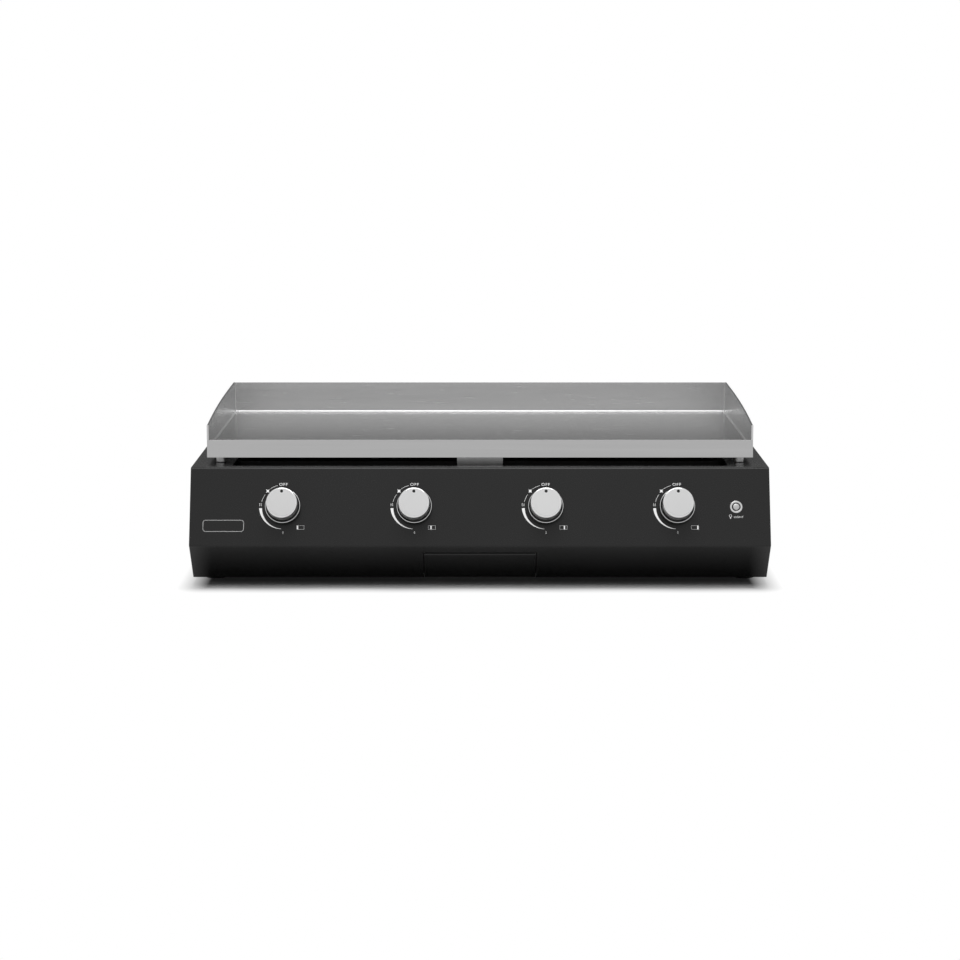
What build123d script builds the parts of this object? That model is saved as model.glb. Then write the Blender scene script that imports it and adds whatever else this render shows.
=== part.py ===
from build123d import *
import os
from math import atan2, cos, hypot, sin

# Counter-top gas griddle with four burners: a folded black housing, gas taps behind a leaning control
# panel, a grease drawer in the chin and a loose stainless tray on pegs. Millimetres, +Z up, cook at -Y.
# Sections are drawn with Y counted back from the housing's front top edge and moved to the origin at the end.

# Housing, folded from sheet
HOUSING_WIDTH = 860.0
HOUSING_DEPTH = 500.0
SHEET = 1.5
PANEL_RUN = 43.5
PANEL_DROP = 111.0
CHIN_RUN = 53.5
CHIN_DROP = 57.0
TOP_BEND = 4.0
NOSE_BEND = 3.0
CHIN_BEND = 3.0
EDGE_ROUND = 1.2
FRONT_DECK = 16.0
SIDE_DECK = 60.0
REAR_DECK = 30.0
DECK_LIP = 14.0
RETURN_FLANGE = 30.0
FOOT_FLANGE = 52.0
SCREW_FLANGE = 20.0

# Feet and screws
FOOT_HEIGHT = 8.0
FOOT_RADIUS = 18.0
FOOT_TAPER = 2.0
FOOT_INSET = 30.0
FOOT_MARGIN = 50.0
SCREW_RADIUS = 2.0
SCREW_HEAD_RADIUS = 4.0
SCREW_HEAD_HEIGHT = 2.4
SCREW_HEAD_ROUND = 1.4
SCREW_LENGTH = 7.0
SCREW_FIT = 0.1
REAR_SCREW_ROWS = 3

# Vents in the rear panel and the base pan
VENT_LENGTH = 46.0
VENT_WIDTH = 5.0
REAR_VENT_COLUMNS = 9
REAR_VENT_ROWS = 3
REAR_VENT_PITCH_X = 66.0
REAR_VENT_PITCH_Z = 14.0
REAR_VENT_DROP = 40.0
BASE_VENT_COLUMNS = 6
BASE_VENT_ROWS = 2
BASE_VENT_PITCH_X = 105.0
BASE_VENT_PITCH_Y = 70.0

# Knobs and gas taps, measured out from the face of the control panel
KNOB_COUNT = 4
KNOB_PITCH = 194.6
KNOB_SLOPE = 60.5
KNOB_RADIUS = 23.2
KNOB_DRAFT = 0.2
KNOB_GAP = 1.0
KNOB_REACH = 32.5
KNOB_RIM = 2.0
KNOB_WALL = 2.0
KNOB_FACE_WALL = 3.0
KNOB_BOSS_RADIUS = 6.5
KNOB_RIB = 1.6
KNOB_RIB_COUNT = 3
KNOB_DOT_RADIUS = 2.3
KNOB_DOT_DEPTH = 0.6
KNOB_DOT_OFFSET = 16.3
KNOB_PUSH = 4.0
BEZEL_RIM_RADIUS = 26.0
BEZEL_RIM_HEIGHT = 10.0
BEZEL_RIM_CHAMFER = 0.6
BEZEL_CUP_RADIUS = 25.0
BEZEL_WALL = 0.8
BEZEL_DEPTH = 7.0
PANEL_FIT = 0.2
STEM_RADIUS = 4.0
STEM_SHOULDER = 0.5
STEM_TIP_RADIUS = 3.0
STEM_FLAT = 1.5
STEM_TIP_LENGTH = 22.0
STEM_GUIDE = 21.5
STEM_FIT = 0.05
TONGUE_WIDTH = 2.0
TONGUE_SPAN = 7.0
TONGUE_LENGTH = 8.0
TONGUE_FIT = 0.1
PLUG_FRONT_RADIUS = 9.0
PLUG_BACK_RADIUS = 7.5
PLUG_LENGTH = 22.0
PLUG_FIT = 0.05
PLUG_END_GAP = 0.3
TAP_NECK_RADIUS = 7.0
TAP_NECK_SETBACK = 4.0
TAP_NECK_LENGTH = 10.0
TAP_RADIUS = 13.0
TAP_WALL = 5.0
TAP_CAP_RADIUS = 10.0
TAP_CAP_LENGTH = 4.0
NOZZLE_RADIUS = 5.0
NOZZLE_TIP_RADIUS = 3.0
NOZZLE_TIP_LENGTH = 8.0
NOZZLE_DEPTH = 46.0
NOZZLE_REACH = 6.0
SPARK_WIDTH = 14.0
SPARK_HEIGHT = 16.0
SPARK_LENGTH = 26.0

# Gas supply
MANIFOLD_RADIUS = 10.65
MANIFOLD_WALL = 2.6
MANIFOLD_DROP = 26.0
MANIFOLD_DEPTH = 34.0
MANIFOLD_INSET = 85.0
INLET_BOSS_RADIUS = 9.0
PIPE_RADIUS = 8.0
PIPE_WALL = 1.5
PIPE_BEND = 26.0
PIPE_INSET = 40.0
PIPE_ENTRY = 12.0
INLET_THREAD_RADIUS = 10.48
INLET_THREAD_LENGTH = 18.0
INLET_FLANGE_RADIUS = 15.0
INLET_FLANGE_HEIGHT = 6.0
INLET_SOCKET = 16.0
INLET_BORE_RADIUS = 5.0
BRACKET_PLATE = 3.0
BRACKET_WIDTH = 40.0
BRACKET_NECK = 30.0
BRACKET_FOOT = 20.0

# Burners, their tray and the electrodes
BURNER_RADIUS = 14.0
BURNER_WALL = 1.2
BURNER_FRONT = 60.0
BURNER_REAR_GAP = 25.0
BELL_RADIUS = 17.0
BELL_LENGTH = 12.0
PORT_COUNT = 14
PORT_WIDTH = 2.2
PORT_SPAN = 17.0
PORT_END_GAP = 39.0
PORT_START = 120.0
TRAY_FRONT = 85.0
TRAY_SHEET = 1.2
TRAY_CORNER = 8.0
TRAY_BELOW_DECK = 3.0
TRAY_UNDER_BURNER = 22.0
BURNER_FIT = 0.3
RAIL_SETBACK = 40.0
RAIL_FOOT = 18.0
RAIL_MARGIN = 30.0
ELECTRODE_OFFSET = 19.5
ELECTRODE_RADIUS = 3.5
ELECTRODE_COLLAR_RADIUS = 5.0
ELECTRODE_COLLAR_LENGTH = 5.0
ELECTRODE_TAIL = 12.0
ELECTRODE_LENGTH = 20.0
ELECTRODE_PIN_RADIUS = 1.2
ELECTRODE_PIN_LENGTH = 22.0
LEAD_RADIUS = 1.5
LEAD_BEND = 15.0
LEAD_RUN = 15.0

# Light button, battery case and the loom of the knob lights
BUTTON_INSET = 50.5
BUTTON_FLANGE_RADIUS = 9.3
BUTTON_FLANGE_HEIGHT = 1.6
BUTTON_BARREL_RADIUS = 7.9
BUTTON_BARREL_LENGTH = 20.0
BUTTON_CAP_RADIUS = 4.7
BUTTON_CAP_HEIGHT = 2.4
BUTTON_CAP_DOME = 0.8
BUTTON_CAP_LENGTH = 12.4
BUTTON_GROOVE_RADIUS = 6.4
BUTTON_GROOVE_DEPTH = 1.0
BUTTON_TRAVEL = 2.0
BUTTON_FIT = 0.1
NUT_FLATS = 20.0
NUT_HEIGHT = 4.0
BATTERY_WIDTH = 52.0
BATTERY_DEPTH = 70.0
BATTERY_HEIGHT = 24.0
BATTERY_ROUND = 4.0
BATTERY_SIDE_GAP = 5.0
BATTERY_EDGE = 1.0
LOOM_RADIUS = 2.0
LOOM_DROP = 34.0
LOOM_CLEARANCE = 0.1
LOOM_BEND = 8.0
LOOM_BUTTON_DROP = 15.0
LOOM_BUTTON_BEND = 6.0
LOOM_TAIL_GAP = 8.0
LOOM_INSET = 16.0

# Grease drawer
MOUTH_WIDTH = 168.0
MOUTH_DROP = 16.5
DRAWER_GAP = 1.0
DRAWER_BEND = 2.5
DRAWER_FRONT_Y = 26.0
DRAWER_LEG = 32.0
DRAWER_RIM = 9.0
DRAWER_LENGTH = 200.0
DRAWER_HEIGHT = 30.0
DRAWER_LIFT = 2.0
DRAWER_SHEET = 1.2
DRAWER_CORNER = 6.0
RUNNER_FIT = 0.2
RUNNER_GAP = 2.0
RUNNER_SHELF = 16.0
RUNNER_FOOT = 14.0
RUNNER_OVERRUN = 14.0
RUNNER_FRONT_GAP = 6.0

# Griddle tray, welded from stainless plate, and what hangs under it
GRIDDLE_PLATE = 3.0
GRIDDLE_SETBACK = 43.0
GRIDDLE_REAR_INSET = 16.0
GRIDDLE_SIDE_INSET = 20.0
GRIDDLE_SKIRT_GAP = 8.5
GRIDDLE_SKIRT = 15.5
GRIDDLE_LIP = 11.0
GRIDDLE_SIDE_FRONT = 21.5
GRIDDLE_SIDE_CREST = 35.5
GRIDDLE_SIDE_SHOULDER = 37.0
GRIDDLE_BACK = 38.0
GRIDDLE_BEND = 3.5
GRIDDLE_NOSE_ROUND = 2.0
DRAIN_WIDTH = 62.0
DRAIN_DEPTH = 16.0
PEG_RADIUS = 7.3
PEG_ROUND = 1.2
PEG_INSET = 39.7
PEG_FRONT = 15.0
PEG_REAR = 34.0
STIFFENER_WIDTH = 24.0
STIFFENER_HEIGHT = 12.0
STIFFENER_FRONT = 60.0
STIFFENER_REAR = 31.0
CHUTE_WIDTH = 70.0
CHUTE_DEPTH = 26.0
CHUTE_LENGTH = 120.0
CHUTE_TAPER = 8.0
CHUTE_WALL = 1.2
CHUTE_GAP = 1.0

# Places that follow from the sizes above
HALF_WIDTH = HOUSING_WIDTH / 2
INNER_HALF = HALF_WIDTH - SHEET
OPENING_HALF = HALF_WIDTH - SIDE_DECK
DECK_Z = FOOT_HEIGHT + CHIN_DROP + PANEL_DROP
BASE_Z = FOOT_HEIGHT + SHEET
FLOOR_Z = BASE_Z + SHEET
NOSE = (-PANEL_RUN, DECK_Z - PANEL_DROP)
CHIN = (CHIN_RUN - PANEL_RUN, FOOT_HEIGHT)
OPENING_REAR = HOUSING_DEPTH - REAR_DECK
BASE_FRONT = DRAWER_FRONT_Y + DRAWER_GAP
BATTERY_FRONT = BASE_FRONT + BATTERY_EDGE
BUTTON_X = HALF_WIDTH - BUTTON_INSET
DRAWER_WIDTH = MOUTH_WIDTH - 2 * DRAWER_RIM
LOOM_END_X = HALF_WIDTH - LOOM_INSET
MANIFOLD_END = HALF_WIDTH - MANIFOLD_INSET
PEG_X = HALF_WIDTH - PEG_INSET
BURNER_REAR = OPENING_REAR - BURNER_REAR_GAP
BURNER_LENGTH = BURNER_REAR - BURNER_FRONT
PORT_PITCH = (BURNER_REAR - PORT_END_GAP - PORT_START) / (PORT_COUNT - 1)
PANEL_TILT = atan2(PANEL_RUN, PANEL_DROP)
CHIN_LENGTH = hypot(CHIN_RUN, CHIN_DROP)
KNOB_XS = [(i - (KNOB_COUNT - 1) / 2) * KNOB_PITCH for i in range(KNOB_COUNT)]
PLUG_FRONT = -(TAP_NECK_SETBACK + STEM_GUIDE + PLUG_END_GAP)
PLUG_BACK = PLUG_FRONT - PLUG_LENGTH
TAP_BACK = PLUG_BACK - PLUG_END_GAP - TAP_WALL
MOUTH_Z = NOSE[1] - MOUTH_DROP * CHIN_DROP / CHIN_LENGTH
SKIRT_Z = DECK_Z + GRIDDLE_SKIRT_GAP
PAN_Z = SKIRT_Z + GRIDDLE_SKIRT
PAN_BOTTOM = PAN_Z - GRIDDLE_PLATE
LIP_Z = PAN_Z + GRIDDLE_LIP
GRIDDLE_REAR = HOUSING_DEPTH - GRIDDLE_REAR_INSET
GRIDDLE_INNER = HALF_WIDTH - GRIDDLE_SIDE_INSET - GRIDDLE_PLATE


def panel_point(slope, out, up=0.0):
    """Y and Z of a point on the control panel: down the slope, out from its face, up along it."""
    along = slope - up
    y = -along * sin(PANEL_TILT) - out * cos(PANEL_TILT)
    z = DECK_Z - along * cos(PANEL_TILT) + out * sin(PANEL_TILT)
    return y, z


def panel_plane(x, slope):
    """Plane on the control panel's face: X across, Y up the slope, Z out towards the cook."""
    return Plane((x, *panel_point(slope, 0)), x_dir=(1, 0, 0), z_dir=(0, -cos(PANEL_TILT), sin(PANEL_TILT)))


BURNER_Z = panel_point(KNOB_SLOPE, -NOZZLE_DEPTH)[1]
MANIFOLD_Y, MANIFOLD_Z = panel_point(KNOB_SLOPE, -MANIFOLD_DEPTH, -MANIFOLD_DROP)
TRAY_Z = BURNER_Z - BURNER_RADIUS - TRAY_UNDER_BURNER


def block(x0, x1, y0, y1, z0, z1):
    """Rectangular solid between two corners."""
    centre = Pos((x0 + x1) / 2, (y0 + y1) / 2, (z0 + z1) / 2)
    return centre * Box(x1 - x0, y1 - y0, z1 - z0)


def turned(outline):
    """Turned solid: a closed outline of radius and height spun about Z."""
    return revolve(Plane.XZ * make_face(Polyline(*outline, close=True)), Axis.Z)


def along_y(solid, x, y, z):
    """A solid drawn along Z, laid along +Y from a point."""
    return Pos(x, y, z) * Rot(-90, 0, 0) * solid


def folded(path, bends, side, half):
    """Folded sheet: the outer skin's path in Y and Z, thickened to one side and run across X."""
    skin = FilletPolyline(*path, radius=bends)
    section = make_face(offset(skin, SHEET, side=side))
    return extrude(Plane.YZ * section, half, both=True)


def tube(path, radius):
    """Round cable along a path of straight runs and arcs."""
    section = Plane(path @ 0, z_dir=path % 0) * Circle(radius)
    return sweep(section, path)


def vents(columns, rows, pitch_x, pitch_y):
    """Pattern of round-ended slots, drawn flat."""
    return Sketch() + GridLocations(pitch_x, pitch_y, columns, rows) * SlotOverall(VENT_LENGTH, VENT_WIDTH)


def screw():
    """Button-head screw along Z, its head's seat at zero and its shank below."""
    shank = Pos(0, 0, -SCREW_LENGTH / 2) * Cylinder(SCREW_RADIUS, SCREW_LENGTH)
    head = Pos(0, 0, SCREW_HEAD_HEIGHT / 2) * Cylinder(SCREW_HEAD_RADIUS, SCREW_HEAD_HEIGHT)
    crown = head.edges().group_by(Axis.Z)[-1]
    return shank + fillet(crown, SCREW_HEAD_ROUND)


def feet_places():
    """X and Y of the four rubber feet."""
    x = HALF_WIDTH - FOOT_INSET
    front = CHIN[0] + FOOT_MARGIN
    rear = HOUSING_DEPTH - FOOT_MARGIN
    return [(sx * x, y) for sx in (-1, 1) for y in (front, rear)]


def rear_screw_places():
    """X and Z of the rear panel's screws, over the side panels' flanges."""
    x = INNER_HALF - SCREW_FLANGE / 2
    pitch = (DECK_Z - FOOT_HEIGHT) / (REAR_SCREW_ROWS + 1)
    return [(sx * x, FOOT_HEIGHT + (i + 1) * pitch) for sx in (-1, 1) for i in range(REAR_SCREW_ROWS)]


def front_panel():
    """Deck front, control panel and chin in one fold, with the tap, button and drawer openings."""
    path = [(FRONT_DECK, DECK_Z), (0, DECK_Z), NOSE, CHIN, (CHIN[0] + RETURN_FLANGE, FOOT_HEIGHT)]
    panel = folded(path, [TOP_BEND, NOSE_BEND, CHIN_BEND], Side.LEFT, INNER_HALF)
    panel += block(-OPENING_HALF, OPENING_HALF, FRONT_DECK - SHEET, FRONT_DECK, DECK_Z - DECK_LIP, DECK_Z)
    for x in KNOB_XS:
        panel -= panel_plane(x, KNOB_SLOPE) * Cylinder(BEZEL_CUP_RADIUS + PANEL_FIT, 4 * SHEET)
    panel -= panel_plane(BUTTON_X, KNOB_SLOPE) * Cylinder(BUTTON_BARREL_RADIUS + PANEL_FIT, 4 * SHEET)
    mouth_rear = CHIN[0] + RETURN_FLANGE + SHEET
    mouth = block(-MOUTH_WIDTH / 2, MOUTH_WIDTH / 2, NOSE[0] - SHEET, mouth_rear, 0, MOUTH_Z)
    return panel - mouth


def side_panel():
    """Right end: an outlined plate with deck, deck lip, foot flange and screw flange turned inwards."""
    rim = FilletPolyline(
        (HOUSING_DEPTH, DECK_Z), (0, DECK_Z), NOSE, CHIN, (HOUSING_DEPTH, FOOT_HEIGHT),
        radius=[TOP_BEND, NOSE_BEND, CHIN_BEND],
    )
    outline = make_face(rim + Line((HOUSING_DEPTH, FOOT_HEIGHT), (HOUSING_DEPTH, DECK_Z)))
    plate = Pos(INNER_HALF, 0, 0) * extrude(Plane.YZ * outline, SHEET)
    plate = fillet(plate.faces().sort_by(Axis.X)[-1].edges(), EDGE_ROUND)
    deck = block(OPENING_HALF, INNER_HALF, FRONT_DECK, OPENING_REAR, DECK_Z - SHEET, DECK_Z)
    lip = block(OPENING_HALF, OPENING_HALF + SHEET, FRONT_DECK, OPENING_REAR, DECK_Z - DECK_LIP, DECK_Z)
    foot_front = CHIN[0] + RETURN_FLANGE
    foot_rear = HOUSING_DEPTH - RETURN_FLANGE
    foot = block(HALF_WIDTH - FOOT_FLANGE, INNER_HALF, foot_front, foot_rear, FOOT_HEIGHT, BASE_Z)
    screw_face = HOUSING_DEPTH - SHEET
    flange = block(INNER_HALF - SCREW_FLANGE, INNER_HALF, screw_face - SHEET, screw_face,
                   FLOOR_Z, DECK_Z - DECK_LIP)
    panel = plate + deck + lip + foot + flange
    for x, y in feet_places():
        panel -= Pos(x, y, FOOT_HEIGHT) * Cylinder(SCREW_RADIUS + SCREW_FIT, 4 * SHEET)
    for x, z in rear_screw_places():
        panel -= along_y(Cylinder(SCREW_RADIUS + SCREW_FIT, 6 * SHEET), x, HOUSING_DEPTH, z)
    return panel


def rear_panel():
    """Rear deck, vented back and return flange in one fold, with the gas inlet's hole."""
    path = [
        (OPENING_REAR, DECK_Z), (HOUSING_DEPTH, DECK_Z), (HOUSING_DEPTH, FOOT_HEIGHT),
        (HOUSING_DEPTH - RETURN_FLANGE, FOOT_HEIGHT),
    ]
    panel = folded(path, [TOP_BEND, CHIN_BEND], Side.RIGHT, INNER_HALF)
    panel += block(-OPENING_HALF, OPENING_HALF, OPENING_REAR, OPENING_REAR + SHEET, DECK_Z - DECK_LIP, DECK_Z)
    slots = vents(REAR_VENT_COLUMNS, REAR_VENT_ROWS, REAR_VENT_PITCH_X, REAR_VENT_PITCH_Z)
    face = Plane((0, HOUSING_DEPTH + SHEET, DECK_Z - REAR_VENT_DROP), x_dir=(1, 0, 0), z_dir=(0, -1, 0))
    panel -= extrude(face * slots, 4 * SHEET)
    hole = Cylinder(INLET_THREAD_RADIUS + SHEET, 6 * SHEET)
    panel -= along_y(hole, HALF_WIDTH - PIPE_INSET, HOUSING_DEPTH, MANIFOLD_Z)
    for x, z in rear_screw_places():
        panel -= along_y(Cylinder(SCREW_RADIUS + SCREW_FIT, 6 * SHEET), x, HOUSING_DEPTH, z)
    return panel


def base_pan():
    """Flat bottom sheet on the return flanges, kept back of the drawer's finger gap, with air slots."""
    pan = block(-INNER_HALF, INNER_HALF, BASE_FRONT, HOUSING_DEPTH - CHIN_BEND, BASE_Z, FLOOR_Z)
    slots = vents(BASE_VENT_COLUMNS, BASE_VENT_ROWS, BASE_VENT_PITCH_X, BASE_VENT_PITCH_Y)
    centre = (DRAWER_FRONT_Y + DRAWER_LENGTH + HOUSING_DEPTH) / 2
    pan -= extrude(Plane((0, centre, BASE_Z - SHEET)) * slots, 4 * SHEET)
    for x, y in feet_places():
        pan -= Pos(x, y, BASE_Z) * Cylinder(SCREW_RADIUS + SCREW_FIT, 4 * SHEET)
    return pan


def rubber_feet():
    """Four tapered feet, each with a well for its screw's head."""
    well = SCREW_HEAD_RADIUS + FOOT_TAPER
    seat = FOOT_HEIGHT / 2
    bore = SCREW_RADIUS + SCREW_FIT
    foot = turned([
        (well, 0), (FOOT_RADIUS - FOOT_TAPER, 0), (FOOT_RADIUS, FOOT_HEIGHT), (bore, FOOT_HEIGHT),
        (bore, seat), (well, seat),
    ])
    return [Pos(x, y, 0) * foot for x, y in feet_places()]


def foot_screws():
    """Screws driven up through the feet into the foot flanges and the base pan."""
    return [Pos(x, y, FOOT_HEIGHT / 2) * Rot(180, 0, 0) * screw() for x, y in feet_places()]


def rear_screws():
    """Screws that hold the rear panel to the side panels."""
    return [along_y(screw(), x, HOUSING_DEPTH, z) for x, z in rear_screw_places()]


def burner_tray():
    """Open heat-shield tray between the deck lips, its front wall pierced for burners and electrodes."""
    rim = DECK_Z - TRAY_BELOW_DECK
    outer = block(-OPENING_HALF, OPENING_HALF, TRAY_FRONT, OPENING_REAR, TRAY_Z, rim)
    outer = fillet(outer.edges().filter_by(Axis.Z), TRAY_CORNER)
    inner_half = OPENING_HALF - TRAY_SHEET
    inner = block(-inner_half, inner_half, TRAY_FRONT + TRAY_SHEET, OPENING_REAR - TRAY_SHEET,
                  TRAY_Z + TRAY_SHEET, rim + TRAY_SHEET)
    inner = fillet(inner.edges().filter_by(Axis.Z), TRAY_CORNER - TRAY_SHEET)
    tray = outer - inner
    for x in KNOB_XS:
        tray -= along_y(Cylinder(BURNER_RADIUS + BURNER_FIT, 4 * TRAY_SHEET), x, TRAY_FRONT, BURNER_Z)
        hole = Cylinder(ELECTRODE_RADIUS + BURNER_FIT, 4 * TRAY_SHEET)
        tray -= along_y(hole, x + ELECTRODE_OFFSET, TRAY_FRONT, BURNER_Z)
    return tray


def burner(x):
    """Tube burner with a belled mouth, a closed far end and a row of flame ports on top."""
    inner = BURNER_RADIUS - BURNER_WALL
    end = BURNER_LENGTH - BURNER_WALL
    shell = turned([
        (BELL_RADIUS, 0), (BURNER_RADIUS, BELL_LENGTH), (BURNER_RADIUS, BURNER_LENGTH), (0, BURNER_LENGTH),
        (0, end), (inner, end), (inner, BELL_LENGTH), (BELL_RADIUS - BURNER_WALL, 0),
    ])
    body = along_y(shell, x, BURNER_FRONT, BURNER_Z)
    port = Box(PORT_SPAN, PORT_WIDTH, BURNER_RADIUS)
    for i in range(PORT_COUNT):
        body -= Pos(x, PORT_START + i * PORT_PITCH, BURNER_Z + BURNER_RADIUS) * port
    return body


def burner_rail():
    """Angle rail on the tray's floor, notched for the burners' far ends."""
    half = OPENING_HALF - RAIL_MARGIN
    rear = BURNER_REAR - RAIL_SETBACK
    seat = TRAY_Z + TRAY_SHEET
    web = block(-half, half, rear, rear + SHEET, seat, BURNER_Z)
    for x in KNOB_XS:
        web -= along_y(Cylinder(BURNER_RADIUS + BURNER_FIT, 4 * SHEET), x, rear, BURNER_Z)
    return web + block(-half, half, rear, rear + RAIL_FOOT, seat, seat + SHEET)


def electrodes():
    """Ceramic spark electrodes, collared against the tray's front wall beside each burner."""
    tail = -ELECTRODE_COLLAR_LENGTH - ELECTRODE_TAIL
    tip = ELECTRODE_LENGTH + ELECTRODE_PIN_LENGTH
    rod = turned([
        (0, tail), (ELECTRODE_RADIUS, tail), (ELECTRODE_RADIUS, -ELECTRODE_COLLAR_LENGTH),
        (ELECTRODE_COLLAR_RADIUS, -ELECTRODE_COLLAR_LENGTH), (ELECTRODE_COLLAR_RADIUS, 0),
        (ELECTRODE_RADIUS, 0), (ELECTRODE_RADIUS, ELECTRODE_LENGTH),
        (ELECTRODE_PIN_RADIUS, ELECTRODE_LENGTH), (ELECTRODE_PIN_RADIUS, tip), (0, tip),
    ])
    return [along_y(rod, x + ELECTRODE_OFFSET, TRAY_FRONT, BURNER_Z) for x in KNOB_XS]


def spark_units():
    """Spark unit on the right of each tap, hollowed to the tap's round side."""
    y0 = -SPARK_HEIGHT / 2
    left = ELECTRODE_OFFSET - SPARK_WIDTH / 2
    right = ELECTRODE_OFFSET + SPARK_WIDTH / 2
    front = -(TAP_NECK_SETBACK + TAP_NECK_LENGTH)
    unit = block(left, right, y0, -y0, front - SPARK_LENGTH, front)
    unit = fillet(unit.edges().filter_by(Axis.Z), SHEET)
    unit -= Cylinder(TAP_RADIUS + STEM_FIT, -4 * TAP_BACK)
    return [panel_plane(x, KNOB_SLOPE) * unit for x in KNOB_XS]


def igniter_leads():
    """Spark leads from the back of each spark unit to its electrode's tail."""
    back = -(TAP_NECK_SETBACK + TAP_NECK_LENGTH + SPARK_LENGTH)
    y0, z0 = panel_point(KNOB_SLOPE, back)
    y1, z1 = panel_point(KNOB_SLOPE, back - LEAD_RUN)
    end = TRAY_FRONT - ELECTRODE_COLLAR_LENGTH - ELECTRODE_TAIL
    leads = []
    for x in KNOB_XS:
        at = x + ELECTRODE_OFFSET
        path = FilletPolyline(
            (at, y0, z0), (at, y1, z1), (at, end - LEAD_RUN, BURNER_Z), (at, end, BURNER_Z), radius=LEAD_BEND,
        )
        leads.append(tube(path, LEAD_RADIUS))
    return leads


def tap_body(x):
    """Brass gas tap: turned body with a taper seat, a side inlet on the manifold and a nozzle."""
    neck_back = -(TAP_NECK_SETBACK + TAP_NECK_LENGTH)
    body = turned([
        (0, -TAP_NECK_SETBACK), (TAP_NECK_RADIUS, -TAP_NECK_SETBACK), (TAP_NECK_RADIUS, neck_back),
        (TAP_RADIUS, neck_back), (TAP_RADIUS, TAP_BACK), (TAP_CAP_RADIUS, TAP_BACK),
        (TAP_CAP_RADIUS, TAP_BACK - TAP_CAP_LENGTH), (0, TAP_BACK - TAP_CAP_LENGTH),
    ])
    boss = Rot(90, 0, 0) * Cylinder(INLET_BOSS_RADIUS, MANIFOLD_DROP)
    body += Pos(0, -MANIFOLD_DROP / 2, -MANIFOLD_DEPTH) * boss
    pipe = Rot(0, 90, 0) * Cylinder(MANIFOLD_RADIUS + STEM_FIT, 4 * INLET_BOSS_RADIUS)
    body -= Pos(0, -MANIFOLD_DROP, -MANIFOLD_DEPTH) * pipe
    nozzle_y, nozzle_z = panel_point(KNOB_SLOPE, -NOZZLE_DEPTH)
    reach = BURNER_FRONT + NOZZLE_REACH - nozzle_y
    shoulder = reach - NOZZLE_TIP_LENGTH
    nozzle = turned([
        (0, 0), (NOZZLE_RADIUS, 0), (NOZZLE_RADIUS, shoulder), (NOZZLE_TIP_RADIUS, shoulder),
        (NOZZLE_TIP_RADIUS, reach), (0, reach),
    ])
    tap = panel_plane(x, KNOB_SLOPE) * body + along_y(nozzle, x, nozzle_y, nozzle_z)
    seat_front = PLUG_FRONT + PLUG_END_GAP
    seat = turned([
        (0, 0), (STEM_RADIUS + STEM_FIT, 0), (STEM_RADIUS + STEM_FIT, seat_front),
        (PLUG_FRONT_RADIUS + PLUG_FIT, seat_front), (PLUG_FRONT_RADIUS + PLUG_FIT, PLUG_FRONT),
        (PLUG_BACK_RADIUS + PLUG_FIT, PLUG_BACK), (PLUG_BACK_RADIUS + PLUG_FIT, PLUG_BACK - PLUG_END_GAP),
        (0, PLUG_BACK - PLUG_END_GAP),
    ])
    return tap - panel_plane(x, KNOB_SLOPE) * seat


def gas_plug(x):
    """Taper plug that meters the gas, slotted across its front for the stem's tongue."""
    plug = turned([
        (0, PLUG_BACK), (PLUG_BACK_RADIUS, PLUG_BACK), (PLUG_FRONT_RADIUS, PLUG_FRONT), (0, PLUG_FRONT),
    ])
    depth = TONGUE_LENGTH + KNOB_PUSH
    half = TONGUE_SPAN / 2 + TONGUE_FIT
    wide = TONGUE_WIDTH / 2 + TONGUE_FIT
    stem_end = STEM_SHOULDER - STEM_GUIDE
    plug -= block(-wide, wide, -half, half, stem_end - depth - KNOB_GAP, PLUG_FRONT + SHEET)
    return panel_plane(x, KNOB_SLOPE) * plug


def valve_stem(x):
    """Tap stem: a D tip for the knob, a round guide and a tongue that turns the plug."""
    end = STEM_SHOULDER - STEM_GUIDE
    tip = STEM_SHOULDER + STEM_TIP_LENGTH
    stem = turned([
        (0, end), (STEM_RADIUS, end), (STEM_RADIUS, STEM_SHOULDER), (STEM_TIP_RADIUS, STEM_SHOULDER),
        (STEM_TIP_RADIUS, tip), (0, tip),
    ])
    stem -= block(-STEM_RADIUS, STEM_RADIUS, STEM_FLAT, STEM_RADIUS, STEM_SHOULDER, tip)
    half = TONGUE_SPAN / 2
    wide = TONGUE_WIDTH / 2
    stem += block(-wide, wide, -half, half, end - TONGUE_LENGTH, end)
    return panel_plane(x, KNOB_SLOPE) * stem


def knob(x):
    """Satin knob: drafted skirt with a bevelled face, a dot at the top, ribs and a D bore behind."""
    face = KNOB_RADIUS - KNOB_DRAFT
    body = turned([
        (0, KNOB_GAP), (KNOB_RADIUS, KNOB_GAP), (face, KNOB_REACH - KNOB_RIM),
        (face - KNOB_RIM, KNOB_REACH), (0, KNOB_REACH),
    ])
    roof = KNOB_REACH - KNOB_FACE_WALL
    hollow = turned([
        (KNOB_BOSS_RADIUS, 0), (KNOB_RADIUS - KNOB_WALL, 0), (face - KNOB_WALL, roof),
        (KNOB_BOSS_RADIUS, roof),
    ])
    ribs = Part()
    for spoke in PolarLocations(0, KNOB_RIB_COUNT):
        ribs += spoke * block(0, face, -KNOB_RIB / 2, KNOB_RIB / 2, BEZEL_RIM_HEIGHT, roof)
    body -= hollow - ribs
    bore = Cylinder(STEM_TIP_RADIUS + STEM_FIT, 2 * (STEM_SHOULDER + STEM_TIP_LENGTH + STEM_FIT))
    flat = STEM_FLAT + STEM_FIT
    bore -= block(-KNOB_RADIUS, KNOB_RADIUS, flat, KNOB_RADIUS, -KNOB_REACH, KNOB_REACH)
    body -= bore
    body -= Pos(0, KNOB_DOT_OFFSET, KNOB_REACH) * Cylinder(KNOB_DOT_RADIUS, 2 * KNOB_DOT_DEPTH)
    return panel_plane(x, KNOB_SLOPE) * body


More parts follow.
